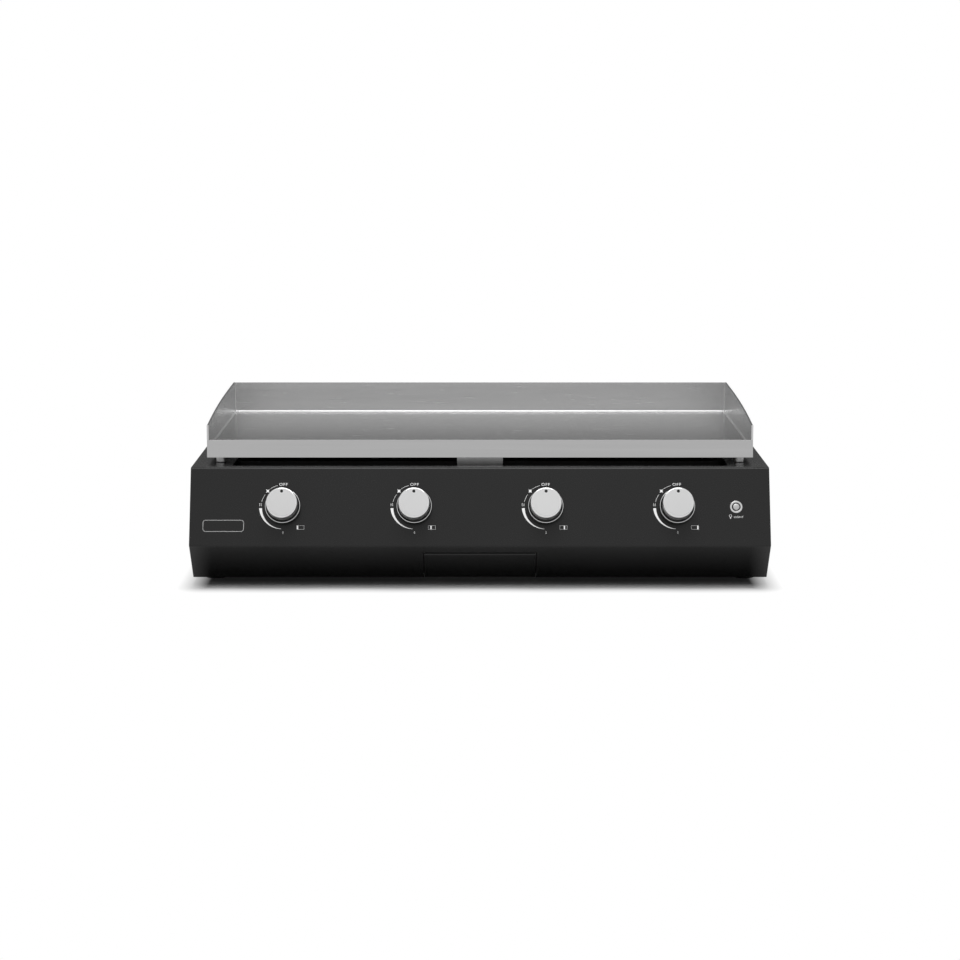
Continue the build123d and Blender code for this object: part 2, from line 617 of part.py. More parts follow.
def knob_bezel(x):
    """Bezel pressed into the panel: a raised collar with a bright rim and a cup that the knob sinks into."""
    inner = BEZEL_CUP_RADIUS - BEZEL_WALL
    neck = TAP_NECK_RADIUS + PANEL_FIT
    floor = -BEZEL_DEPTH + BEZEL_WALL
    bezel = turned([
        (neck, -BEZEL_DEPTH), (BEZEL_CUP_RADIUS, -BEZEL_DEPTH), (BEZEL_CUP_RADIUS, 0), (BEZEL_RIM_RADIUS, 0),
        (BEZEL_RIM_RADIUS, BEZEL_RIM_HEIGHT - BEZEL_RIM_CHAMFER),
        (BEZEL_RIM_RADIUS - BEZEL_RIM_CHAMFER, BEZEL_RIM_HEIGHT), (inner, BEZEL_RIM_HEIGHT),
        (inner, floor), (neck, floor),
    ])
    return panel_plane(x, KNOB_SLOPE) * bezel


def gas_manifold():
    """Supply pipe across the taps, plugged at its left end."""
    pipe = Cylinder(MANIFOLD_RADIUS, 2 * MANIFOLD_END)
    pipe -= Pos(0, 0, MANIFOLD_WALL) * Cylinder(MANIFOLD_RADIUS - MANIFOLD_WALL, 2 * MANIFOLD_END)
    return Pos(0, MANIFOLD_Y, MANIFOLD_Z) * Rot(0, 90, 0) * pipe


def gas_pipe():
    """Pipe soldered into the manifold's right end, round the corner and back to the inlet fitting."""
    x = HALF_WIDTH - PIPE_INSET
    end = HOUSING_DEPTH - SHEET - INLET_SOCKET
    start = MANIFOLD_END - PIPE_ENTRY
    path = FilletPolyline(
        (start, MANIFOLD_Y, MANIFOLD_Z), (x, MANIFOLD_Y, MANIFOLD_Z), (x, end, MANIFOLD_Z), radius=PIPE_BEND,
    )
    return tube(path, PIPE_RADIUS) - tube(path, PIPE_RADIUS - PIPE_WALL)


def gas_inlet():
    """Bulkhead fitting in the rear panel with a male pipe thread for the hose."""
    inside = -SHEET - INLET_SOCKET
    nut_face = -SHEET - INLET_FLANGE_HEIGHT
    tip = INLET_FLANGE_HEIGHT + INLET_THREAD_LENGTH
    fitting = turned([
        (INLET_BORE_RADIUS, inside), (INLET_THREAD_RADIUS, inside), (INLET_THREAD_RADIUS, nut_face),
        (INLET_FLANGE_RADIUS, nut_face), (INLET_FLANGE_RADIUS, -SHEET),
        (INLET_THREAD_RADIUS, -SHEET), (INLET_THREAD_RADIUS, 0), (INLET_FLANGE_RADIUS, 0),
        (INLET_FLANGE_RADIUS, INLET_FLANGE_HEIGHT), (INLET_THREAD_RADIUS, INLET_FLANGE_HEIGHT),
        (INLET_THREAD_RADIUS, tip), (INLET_BORE_RADIUS, tip),
    ])
    return along_y(fitting, HALF_WIDTH - PIPE_INSET, HOUSING_DEPTH, MANIFOLD_Z)


def manifold_brackets():
    """Two footed plates on the base pan, each between a pair of taps, notched under the manifold."""
    rear = BASE_FRONT + BRACKET_WIDTH
    half = BRACKET_WIDTH / 2
    outline = make_face(Polyline(
        (BASE_FRONT, FLOOR_Z), (rear, FLOOR_Z), (MANIFOLD_Y + half, MANIFOLD_Z),
        (MANIFOLD_Y - half, MANIFOLD_Z), (MANIFOLD_Y - half, MANIFOLD_Z - BRACKET_NECK), close=True,
    ))
    outline -= Pos(MANIFOLD_Y, MANIFOLD_Z) * Circle(MANIFOLD_RADIUS + STEM_FIT)
    plate = extrude(Plane.YZ * outline, BRACKET_PLATE / 2, both=True)
    foot = BRACKET_FOOT / 2
    plate += block(-foot, foot, BASE_FRONT, rear, FLOOR_Z, FLOOR_Z + BRACKET_PLATE)
    return [Pos(side * KNOB_PITCH, 0, 0) * plate for side in (-1, 1)]


def button_housing():
    """Button's flange, dark groove and barrel, bored for the cap."""
    bore = BUTTON_CAP_RADIUS + BUTTON_FIT
    groove = BUTTON_FLANGE_HEIGHT - BUTTON_GROOVE_DEPTH
    bottom = BUTTON_CAP_HEIGHT - BUTTON_CAP_LENGTH - 2 * BUTTON_TRAVEL
    shell = turned([
        (0, -BUTTON_BARREL_LENGTH), (BUTTON_BARREL_RADIUS, -BUTTON_BARREL_LENGTH), (BUTTON_BARREL_RADIUS, 0),
        (BUTTON_FLANGE_RADIUS, 0), (BUTTON_FLANGE_RADIUS, BUTTON_FLANGE_HEIGHT),
        (BUTTON_GROOVE_RADIUS, BUTTON_FLANGE_HEIGHT), (BUTTON_GROOVE_RADIUS, groove), (bore, groove),
        (bore, bottom), (0, bottom),
    ])
    return panel_plane(BUTTON_X, KNOB_SLOPE) * shell


def button_nut():
    """Hexagon nut that clamps the button's barrel behind the panel."""
    ring = RegularPolygon(NUT_FLATS / 2, 6, major_radius=False) - Circle(BUTTON_BARREL_RADIUS + STEM_FIT)
    return panel_plane(BUTTON_X, KNOB_SLOPE) * Pos(0, 0, -SHEET - NUT_HEIGHT) * extrude(ring, NUT_HEIGHT)


def button_cap():
    """Moving cap of the light button, slightly domed."""
    centre = Pos(0, 0, BUTTON_CAP_HEIGHT - BUTTON_CAP_LENGTH / 2)
    cap = centre * Cylinder(BUTTON_CAP_RADIUS, BUTTON_CAP_LENGTH)
    cap = fillet(cap.edges().group_by(Axis.Z)[-1], BUTTON_CAP_DOME)
    return panel_plane(BUTTON_X, KNOB_SLOPE) * cap


def battery_case():
    """Battery case of the lights, on the base pan behind the button."""
    right = INNER_HALF - BATTERY_SIDE_GAP
    case = block(right - BATTERY_WIDTH, right, BATTERY_FRONT, BATTERY_FRONT + BATTERY_DEPTH,
                 FLOOR_Z, FLOOR_Z + BATTERY_HEIGHT)
    return fillet(case.edges().filter_by(Axis.Z), BATTERY_ROUND)


def light_loom():
    """Loom of the knob lights: a run behind the panel, a tap to each bezel, the button and the battery."""
    depth = -(SHEET + LOOM_RADIUS + LOOM_CLEARANCE)
    start = KNOB_XS[0] - LOOM_TAIL_GAP
    run = Rot(0, 90, 0) * Cylinder(LOOM_RADIUS, LOOM_END_X - start)
    loom = Pos((LOOM_END_X + start) / 2, -LOOM_DROP, depth) * run
    branch_length = LOOM_DROP - BEZEL_CUP_RADIUS - LOOM_CLEARANCE
    for x in KNOB_XS:
        branch = Rot(90, 0, 0) * Cylinder(LEAD_RADIUS, branch_length)
        loom += Pos(x, branch_length / 2 - LOOM_DROP, depth) * branch
    back = -BUTTON_BARREL_LENGTH
    turn = back - LOOM_TAIL_GAP
    below_nut = -LOOM_BUTTON_DROP
    path = FilletPolyline(
        (BUTTON_X, -LOOM_DROP, depth), (BUTTON_X, below_nut, depth), (BUTTON_X, below_nut, turn),
        (BUTTON_X, 0, turn), (BUTTON_X, 0, back), radius=LOOM_BUTTON_BEND,
    )
    loom += tube(path, LEAD_RADIUS)
    loom = panel_plane(0, KNOB_SLOPE) * loom
    x = LOOM_END_X - LOOM_RADIUS
    y0, z0 = panel_point(KNOB_SLOPE, depth, -LOOM_DROP)
    y1 = BATTERY_FRONT + LOOM_BEND
    reach = (y1 - y0) / cos(PANEL_TILT)
    z1 = z0 - reach * sin(PANEL_TILT)
    tail = FilletPolyline((x, y0, z0), (x, y1, z1), (x, y1, FLOOR_Z + BATTERY_HEIGHT), radius=LOOM_BEND)
    return loom + tube(tail, LEAD_RADIUS)


def drawer_front():
    """Drawer front flush with the chin, folded back over the top and down the tray's front."""
    top = (MOUTH_DROP + DRAWER_GAP) / CHIN_LENGTH
    foot = (CHIN_LENGTH - DRAWER_GAP) / CHIN_LENGTH
    top_point = (NOSE[0] + top * CHIN_RUN, NOSE[1] - top * CHIN_DROP)
    foot_point = (NOSE[0] + foot * CHIN_RUN, NOSE[1] - foot * CHIN_DROP)
    leg_top = (DRAWER_FRONT_Y, top_point[1])
    path = [(DRAWER_FRONT_Y, top_point[1] - DRAWER_LEG), leg_top, top_point, foot_point]
    return folded(path, DRAWER_BEND, Side.LEFT, MOUTH_WIDTH / 2 - DRAWER_GAP)


def drawer_tray():
    """Grease tray with rims turned out to hang on the runners."""
    floor = FLOOR_Z + DRAWER_LIFT
    rim = floor + DRAWER_HEIGHT
    half = DRAWER_WIDTH / 2
    rear = DRAWER_FRONT_Y + DRAWER_LENGTH
    outer = block(-half, half, DRAWER_FRONT_Y, rear, floor, rim)
    outer = fillet(outer.edges().filter_by(Axis.Z), DRAWER_CORNER)
    wall = DRAWER_SHEET
    inner = block(-half + wall, half - wall, DRAWER_FRONT_Y + wall, rear - wall, floor + wall, rim + wall)
    inner = fillet(inner.edges().filter_by(Axis.Z), DRAWER_CORNER - wall)
    reach = MOUTH_WIDTH / 2 - DRAWER_GAP
    rims = block(-reach, reach, DRAWER_FRONT_Y + DRAWER_CORNER, rear - DRAWER_CORNER, rim - wall, rim)
    return outer + rims - inner


def drawer_runner():
    """Right drawer runner: a foot on the base pan, a web and a shelf under the tray's rim."""
    shelf = FLOOR_Z + DRAWER_LIFT + DRAWER_HEIGHT - DRAWER_SHEET - RUNNER_FIT
    left = DRAWER_WIDTH / 2 + RUNNER_GAP
    web = left + RUNNER_SHELF
    front = DRAWER_FRONT_Y + RUNNER_FRONT_GAP
    rear = DRAWER_FRONT_Y + DRAWER_LENGTH + RUNNER_OVERRUN
    runner = block(left, web, front, rear, shelf - SHEET, shelf)
    runner += block(web - SHEET, web, front, rear, FLOOR_Z, shelf)
    return runner + block(web - SHEET, web + RUNNER_FOOT, front, rear, FLOOR_Z, FLOOR_Z + SHEET)


def griddle_pan():
    """Cooking floor and back wall bent from one plate, notched at the front for the grease drain."""
    front = GRIDDLE_SETBACK + GRIDDLE_PLATE
    back = GRIDDLE_REAR - GRIDDLE_PLATE
    skin = FilletPolyline((front, PAN_Z), (back, PAN_Z), (back, LIP_Z + GRIDDLE_BACK), radius=GRIDDLE_BEND)
    section = make_face(offset(skin, GRIDDLE_PLATE, side=Side.RIGHT))
    pan = extrude(Plane.YZ * section, GRIDDLE_INNER, both=True)
    half = DRAIN_WIDTH / 2
    return pan - block(-half, half, front - SHEET, front + DRAIN_DEPTH, PAN_BOTTOM - SHEET, PAN_Z + SHEET)


def griddle_side():
    """Right side wall: a plate whose top edge sweeps up from the front and levels out to the back."""
    reach = (GRIDDLE_REAR - GRIDDLE_SETBACK) / 3
    low = (GRIDDLE_SETBACK, SKIRT_Z)
    front_top = (GRIDDLE_SETBACK, LIP_Z + GRIDDLE_SIDE_FRONT)
    rear_top = (GRIDDLE_REAR, LIP_Z + GRIDDLE_BACK)
    sweep_up = Bezier(
        front_top, (GRIDDLE_SETBACK + reach, LIP_Z + GRIDDLE_SIDE_CREST),
        (GRIDDLE_SETBACK + 2 * reach, LIP_Z + GRIDDLE_SIDE_SHOULDER), rear_top,
    )
    outline = sweep_up + Polyline(rear_top, (GRIDDLE_REAR, SKIRT_Z), low, front_top)
    plate = extrude(Plane.YZ * make_face(outline), GRIDDLE_PLATE)
    corner = plate.edges().filter_by(Axis.X).group_by(Axis.Y)[0].sort_by(Axis.Z)[-1]
    return Pos(GRIDDLE_INNER, 0, 0) * fillet(corner, GRIDDLE_NOSE_ROUND)


def griddle_front():
    """Front rail: the lip above the cooking floor and the skirt below it."""
    rear = GRIDDLE_SETBACK + GRIDDLE_PLATE
    return block(-GRIDDLE_INNER, GRIDDLE_INNER, GRIDDLE_SETBACK, rear, SKIRT_Z, LIP_Z)


def griddle_pegs():
    """Four pegs that stand the tray on the side decks."""
    peg = Pos(0, 0, (DECK_Z + PAN_BOTTOM) / 2) * Cylinder(PEG_RADIUS, PAN_BOTTOM - DECK_Z)
    peg = fillet(peg.edges().group_by(Axis.Z)[0], PEG_ROUND)
    rows = (GRIDDLE_SETBACK + PEG_FRONT, GRIDDLE_REAR - PEG_REAR)
    return [Pos(sx * PEG_X, y, 0) * peg for sx in (-1, 1) for y in rows]


def griddle_stiffeners():
    """Channels under the cooking floor, between the burners."""
    front = GRIDDLE_SETBACK + STIFFENER_FRONT
    rear = GRIDDLE_REAR - STIFFENER_REAR
    low = PAN_BOTTOM - STIFFENER_HEIGHT
    half = STIFFENER_WIDTH / 2
    bars = []
    for left, right in zip(KNOB_XS, KNOB_XS[1:]):
        x = (left + right) / 2
        bar = block(x - half, x + half, front, rear, low, PAN_BOTTOM)
        bar -= block(x - half + SHEET, x + half - SHEET, front - SHEET, rear + SHEET, low + SHEET, PAN_Z)
        bars.append(bar)
    return bars


def grease_chute():
    """Tapered duct under the drain notch that drops the grease towards the drawer."""
    front = GRIDDLE_SETBACK + GRIDDLE_PLATE + CHUTE_GAP
    centre = front + CHUTE_DEPTH / 2
    low = PAN_BOTTOM - CHUTE_LENGTH

    def duct(inset, extra):
        mouth = Plane((0, centre, PAN_BOTTOM + extra)) * Rectangle(CHUTE_WIDTH - inset, CHUTE_DEPTH - inset)
        spout = Plane((0, centre, low - extra)) * Rectangle(CHUTE_WIDTH - CHUTE_TAPER - inset,
                                                          CHUTE_DEPTH - CHUTE_TAPER - inset)
        return loft([mouth, spout])

    return duct(0, 0) - duct(2 * CHUTE_WALL, CHUTE_WALL)


def mirrored(solid):
    """The left-hand twin of a right-hand solid."""
    return mirror(solid, about=Plane.YZ)


nodes = {
    "front_panel": front_panel(),
    "right_side_panel": side_panel(),
    "rear_panel": rear_panel(),
    "base_pan": base_pan(),
    "rubber_feet": rubber_feet(),
    "foot_screws": foot_screws(),
    "rear_screws": rear_screws(),
    "burner_tray": burner_tray(),
    "burner_rail": burner_rail(),
    "igniter_electrodes": electrodes(),
    "spark_units": spark_units(),
    "igniter_leads": igniter_leads(),
    "gas_manifold": gas_manifold(),
    "gas_pipe": gas_pipe(),
    "gas_inlet": gas_inlet(),
    "manifold_brackets": manifold_brackets(),
    "button_housing": button_housing(),
    "button_nut": button_nut(),
    "button_cap": button_cap(),
    "battery_case": battery_case(),
    "light_loom": light_loom(),
    "drawer_front": drawer_front(),
    "drawer_tray": drawer_tray(),
    "drawer_runner_right": drawer_runner(),
    "griddle_pan": griddle_pan(),
    "griddle_side_right": griddle_side(),
    "griddle_front_rail": griddle_front(),
    "griddle_pegs": griddle_pegs(),
    "griddle_stiffeners": griddle_stiffeners(),
    "grease_chute": grease_chute(),
}
nodes["left_side_panel"] = mirrored(nodes["right_side_panel"])
nodes["drawer_runner_left"] = mirrored(nodes["drawer_runner_right"])
nodes["griddle_side_left"] = mirrored(nodes["griddle_side_right"])
for number, knob_x in enumerate(KNOB_XS, start=1):
    nodes[f"burner_{number}"] = burner(knob_x)
    nodes[f"tap_body_{number}"] = tap_body(knob_x)
    nodes[f"gas_plug_{number}"] = gas_plug(knob_x)
    nodes[f"valve_stem_{number}"] = valve_stem(knob_x)
    nodes[f"knob_{number}"] = knob(knob_x)
    nodes[f"knob_bezel_{number}"] = knob_bezel(knob_x)

# The origin lies under the middle of the whole object, on the surface that it stands on
groups = {name: item if isinstance(item, list) else [item] for name, item in nodes.items()}
boxes = [solid.bounding_box() for group in groups.values() for solid in group]
front_end = min(box.min.Y for box in boxes)
rear_end = max(box.max.Y for box in boxes)
to_origin = Pos(0, -(front_end + rear_end) / 2, 0)

os.makedirs("parts", exist_ok=True)
for name, group in groups.items():
    placed = [to_origin * solid for solid in group]
    export_step(Compound(children=placed) if len(placed) > 1 else placed[0], f"parts/{name}.step")
print(f"front edge of the deck at Y = {-(front_end + rear_end) / 2:.4f}, deck at Z = {DECK_Z:.3f}")
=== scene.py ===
import math

import bmesh
import bpy
import numpy as np
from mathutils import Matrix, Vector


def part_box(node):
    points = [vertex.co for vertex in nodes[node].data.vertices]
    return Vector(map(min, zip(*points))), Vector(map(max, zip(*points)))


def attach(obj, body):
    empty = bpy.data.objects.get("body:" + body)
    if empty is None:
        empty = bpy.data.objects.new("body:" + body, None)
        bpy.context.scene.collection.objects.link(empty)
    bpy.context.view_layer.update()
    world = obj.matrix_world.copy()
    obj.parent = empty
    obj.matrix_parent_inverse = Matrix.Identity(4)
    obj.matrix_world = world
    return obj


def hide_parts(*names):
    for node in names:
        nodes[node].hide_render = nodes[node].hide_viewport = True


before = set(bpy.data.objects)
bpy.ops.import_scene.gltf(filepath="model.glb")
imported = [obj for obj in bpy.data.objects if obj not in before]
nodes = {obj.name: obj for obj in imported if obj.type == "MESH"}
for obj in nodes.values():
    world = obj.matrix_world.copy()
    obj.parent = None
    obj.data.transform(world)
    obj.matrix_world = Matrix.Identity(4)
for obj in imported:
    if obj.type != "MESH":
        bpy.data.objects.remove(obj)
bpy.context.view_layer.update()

scene = bpy.context.scene


# The studio: a seamless white floor under two softboxes hung end to end. Flat steel mirrors a grey card and
# the front softbox only, so that it doesn't glare. The griddle is seen square from the front and about
# eight degrees from above, through a long lens, as a catalogue picture shows it.
white = (1.0, 1.0, 1.0, 1.0)
focal_length = 99.46
camera_distance = 3.9456
camera_height = 0.7386
camera_tilt = math.radians(81.522)
fill_strength = 0.04
softbox_width = 1.4
softbox_height = 2.1
softbox_power = 13.27
softboxes = {"front_softbox": (-1.65, -0.4, True), "rear_softbox": (-0.4, 0.45, False)}
floor_reach = 30.0
floor_level = -0.0003
paper_tone = (0.9, 0.9, 0.9, 1.0)
shadow_reach = (0.405, 0.262, 0.0)
shadow_fade = 0.045
card_behind = 2.5
card_half = 4.0
card_height = 3.0
card_strength = 0.18


def shader(tree, kind, sockets, **settings):
    """Adds one shader node. Each socket is given a value or joined to another node's output."""
    made = tree.nodes.new("ShaderNode" + kind)
    for name, value in settings.items():
        setattr(made, name, value)
    for name, value in sockets.items():
        if isinstance(value, bpy.types.NodeSocket):
            tree.links.new(value, made.inputs[name])
        else:
            made.inputs[name].default_value = value
    return made


def seen_directly(tree):
    """Factor that is 1 on rays from the camera, in mirrors and through glass, and 0 on lighting rays."""
    path = shader(tree, "LightPath", {})
    both = shader(tree, "Math", {0: path.outputs["Is Camera Ray"], 1: path.outputs["Is Glossy Ray"]})
    through = path.outputs["Is Transmission Ray"]
    return shader(tree, "Math", {0: both.outputs[0], 1: through}, use_clamp=True).outputs[0]


def stage_sheet(name, corners, material):
    """One flat four-cornered sheet of the studio, which is no piece of the object."""
    mesh = bpy.data.meshes.new(name)
    mesh.from_pydata(corners, [], [(0, 1, 2, 3)])
    mesh.materials.append(material)
    made = bpy.data.objects.new(name, mesh)
    scene.collection.objects.link(made)
    return made


scene.view_settings.view_transform = "Standard"
lens = bpy.data.cameras.new("camera")
lens.sensor_width = 36.0
lens.lens = focal_length
lens.clip_end = 100.0
camera = bpy.data.objects.new("camera", lens)
camera.location = (0.0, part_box("griddle_front_rail")[0][1] - camera_distance, camera_height)
camera.rotation_euler = (camera_tilt, 0.0, 0.0)
scene.collection.objects.link(camera)
scene.camera = camera

air = bpy.data.worlds.new("studio_air")
air.use_nodes = True
scene.world = air
tree = air.node_tree
fill = shader(tree, "Background", {"Color": white, "Strength": fill_strength})
backdrop = shader(tree, "Background", {"Color": white, "Strength": 1.0})
mixed = shader(tree, "MixShader", {0: seen_directly(tree), 1: fill.outputs[0], 2: backdrop.outputs[0]})
tree.links.new(mixed.outputs[0], tree.nodes["World Output"].inputs["Surface"])

for name, (near, far, mirrored) in softboxes.items():
    lamp = bpy.data.lights.new(name, "AREA")
    lamp.shape = "RECTANGLE"
    lamp.size = softbox_width
    lamp.size_y = far - near
    lamp.energy = softbox_power * lamp.size * lamp.size_y
    softbox = bpy.data.objects.new(name, lamp)
    softbox.location = (0.0, (near + far) / 2.0, softbox_height)
    softbox.visible_glossy = mirrored
    scene.collection.objects.link(softbox)

paper = bpy.data.materials.new("studio_paper")
paper.use_nodes = True
tree = paper.node_tree
tree.nodes.remove(tree.nodes["Principled BSDF"])
place = shader(tree, "TexCoord", {}).outputs["Object"]
size = shader(tree, "VectorMath", {0: place}, operation="ABSOLUTE")
past = shader(tree, "VectorMath", {0: size.outputs[0], 1: shadow_reach}, operation="SUBTRACT")
outside = shader(tree, "VectorMath", {0: past.outputs[0], 1: (0.0, 0.0, 0.0)}, operation="MAXIMUM")
gap = shader(tree, "VectorMath", {0: outside.outputs[0]}, operation="LENGTH").outputs["Value"]
away = shader(tree, "MapRange", {"Value": gap, "From Min": 0.0, "From Max": shadow_fade}).outputs[0]
glow = shader(tree, "Math", {0: away, 1: seen_directly(tree)}, operation="MULTIPLY").outputs[0]
matt = shader(tree, "BsdfDiffuse", {"Color": paper_tone})
bright = shader(tree, "Emission", {"Color": white, "Strength": 1.0})
both = shader(tree, "MixShader", {0: glow, 1: matt.outputs[0], 2: bright.outputs[0]})
tree.links.new(both.outputs[0], tree.nodes["Material Output"].inputs["Surface"])
level = [(-floor_reach, -floor_reach), (floor_reach, -floor_reach), (floor_reach, floor_reach),
         (-floor_reach, floor_reach)]
stage_sheet("studio_floor", [(x, y, floor_level) for x, y in level], paper)

felt = bpy.data.materials.new("grey_felt")
felt.use_nodes = True
tree = felt.node_tree
tree.nodes.remove(tree.nodes["Principled BSDF"])
dim = shader(tree, "Emission", {"Color": white, "Strength": card_strength})
tree.links.new(dim.outputs[0], tree.nodes["Material Output"].inputs["Surface"])
upright = [(-card_half, 0.0), (card_half, 0.0), (card_half, card_height), (-card_half, card_height)]
card = stage_sheet("grey_card", [(x, card_behind, z) for x, z in upright], felt)
card.visible_camera = False


# Housing: the front panel with its chin, the two ends and the back are folded from 1.5 mm steel sheet and
# baked with a satin black powder coat, whose skin has a fine orange-peel grain.
def surface(name, tones, rough, grain, stretch=(1.0, 1.0, 1.0), metal=0.0, bump=0.1, gloss=0.5, cloud=7.0,
            cells=False):
    """Procedural finish. A broad noise (or crystal cells) moves the colour between two tones. A fine noise,
    stretched along the way the piece was rolled or brushed, moves the roughness and the height."""
    relief_depth = 0.0002
    material = bpy.data.materials.new(name)
    material.use_nodes = True
    tree = material.node_tree
    place = shader(tree, "TexCoord", {}).outputs["Object"]
    drawn = shader(tree, "Mapping", {"Vector": place, "Scale": stretch}).outputs[0]
    fine = shader(tree, "TexNoise", {"Vector": drawn, "Scale": grain, "Detail": 4.0}).outputs[0]
    if cells:
        broad = shader(tree, "TexVoronoi", {"Vector": place, "Scale": cloud}).outputs["Color"]
    else:
        broad = shader(tree, "TexNoise", {"Vector": drawn, "Scale": cloud, "Detail": 3.0}).outputs[0]
    dark, light = [(tone, tone, tone, 1.0) if isinstance(tone, float) else (*tone, 1.0) for tone in tones]
    tint = shader(tree, "Mix", {0: broad, 6: dark, 7: light}, data_type="RGBA").outputs[2]
    limits = {"From Min": 0.25, "From Max": 0.75, "To Min": rough[0], "To Max": rough[1]}
    dull = shader(tree, "MapRange", {"Value": fine, **limits}).outputs[0]
    relief = shader(tree, "Bump", {"Height": fine, "Strength": bump, "Distance": relief_depth}).outputs[0]
    skin = tree.nodes["Principled BSDF"]
    skin.inputs["Metallic"].default_value = metal
    skin.inputs["Specular IOR Level"].default_value = gloss
    tree.links.new(tint, skin.inputs["Base Color"])
    tree.links.new(dull, skin.inputs["Roughness"])
    tree.links.new(relief, skin.inputs["Normal"])
    return material


def dress(material, *names):
    """Gives one finish to pieces kept from the exact model."""
    for name in names:
        nodes[name].data.materials.clear()
        nodes[name].data.materials.append(material)


powder_black = surface("powder_black", (0.006, 0.010), (0.23, 0.29), 900.0, bump=0.05, gloss=0.31)
dress(powder_black, "front_panel", "left_side_panel", "right_side_panel", "rear_panel")


# Base: a galvanised bottom sheet lies on the housing's return flanges. Four moulded rubber feet stand under
# the housing's corners, each on one screw.
galvanised = surface("galvanised", (0.30, 0.46), (0.36, 0.5), 300.0, metal=1.0, bump=0.04, cloud=90.0,
                     cells=True)
rubber = surface("foot_rubber", (0.012, 0.02), (0.6, 0.8), 500.0, bump=0.3, gloss=0.3)
dress(galvanised, "base_pan")
dress(rubber, "rubber_feet")


# Screws: pan heads of bright zinc with a cross recess. Three at each end hold the rear panel from behind, and
# one holds each foot from below.
head_radius = 0.0040
head_height = 0.0023
head_fall = 0.0014
recess_half = 0.00045
recess_reach = 0.0021
recess_depth = 0.0011
shank_radius = 0.0020
shank_length = 0.0068
rear_column = 0.4185
rear_foot = 0.008
deck = 0.176
rear_rows = np.linspace(rear_foot, deck, 5)[1:-1]
foot_seat = 0.004


def stack(rings, caps=True):
    """Corners and faces of a closed skin over a stack of rings: each ring is joined to the next by
    four-cornered faces all the way round, and the two end rings are filled where caps is set."""
    count, around = rings.shape[:2]
    index = np.arange(count * around).reshape(count, around)
    turn = np.roll(index, -1, axis=1)
    faces = np.stack([index[:-1], turn[:-1], turn[1:], index[1:]], axis=-1).reshape(-1, 4).tolist()
    if caps:
        faces += [index[0].tolist(), index[-1].tolist()]
    return rings.reshape(-1, 3), faces


def piece(name, skins, materials, body, bands=None, crease=34.0):
    """One object of one or more closed skins, with doubled corners merged, faces turned outwards, smooth
    shading below the crease angle, and the material of each band of faces where bands lists them."""
    corners = []
    faces = []
    for points, loops in skins:
        start = sum(len(part) for part in corners)
        corners.append(points)
        faces += [[corner + start for corner in loop] for loop in loops]
    mesh = bpy.data.meshes.new(name)
    mesh.from_pydata(np.concatenate(corners).tolist(), [], faces)
    for material in materials:
        mesh.materials.append(material)
    if bands is not None:
        mesh.polygons.foreach_set("material_index", np.array(bands, dtype=np.int32))
    work = bmesh.new()
    work.from_mesh(mesh)
    bmesh.ops.remove_doubles(work, verts=work.verts, dist=1e-7)
    bmesh.ops.recalc_face_normals(work, faces=work.faces)
    work.to_mesh(mesh)
    work.free()
    mesh.shade_smooth()
    mesh.set_sharp_from_angle(angle=math.radians(crease))
    made = bpy.data.objects.new(name, mesh)
    scene.collection.objects.link(made)
    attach(made, body)
    return made


def screw_skin(place, out, across):
    """Pan-head screw on an axis: rings of growing radius over a head that falls with the fourth power of the
    radius, lowered inside two crossed slots, then to its seat and along the shank to a closed end."""
    angle = np.linspace(0.0, 2.0 * math.pi, 64, endpoint=False)
    head = np.linspace(0.0, head_radius, 26)
    radius = np.concatenate([head, [head_radius, shank_radius, shank_radius, 0.0]])
    dome = head_height - head_fall * (head / head_radius) ** 4
    height = np.concatenate([dome, [0.0, 0.0, -shank_length, -shank_length]])
    x = radius[:, None] * np.cos(angle)
    y = radius[:, None] * np.sin(angle)
    lengthwise = (np.abs(y) < recess_half) & (np.abs(x) < recess_reach)
    crosswise = (np.abs(x) < recess_half) & (np.abs(y) < recess_reach)
    on_head = (np.arange(len(radius)) < len(head))[:, None]
    z = height[:, None] - recess_depth * ((lengthwise | crosswise) & on_head)
    out = np.array(out)
    across = np.array(across)
    up = np.cross(out, across)
    rings = np.array(place) + x[..., None] * across + y[..., None] * up + z[..., None] * out
    return stack(rings, caps=False)


zinc = surface("bright_zinc", (0.52, 0.62), (0.22, 0.34), 700.0, metal=1.0, bump=0.05)
rear_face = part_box("rear_panel")[1][1]
places = [(x, rear_face, z) for x in (-rear_column, rear_column) for z in rear_rows]
behind = [screw_skin(place, (0.0, 1.0, 0.0), (1.0, 0.0, 0.0)) for place in places]
made = piece("rear_screws_driven", behind, [zinc], "housing")
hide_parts("rear_screws")
low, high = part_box("foot_screws")
columns = (low[0] + head_radius, high[0] - head_radius)
rows = (low[1] + head_radius, high[1] - head_radius)
under = [screw_skin((x, y, foot_seat), (0.0, 0.0, -1.0), (1.0, 0.0, 0.0)) for x in columns for y in rows]
made = piece("foot_screws_driven", under, [zinc], "housing")
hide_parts("foot_screws")


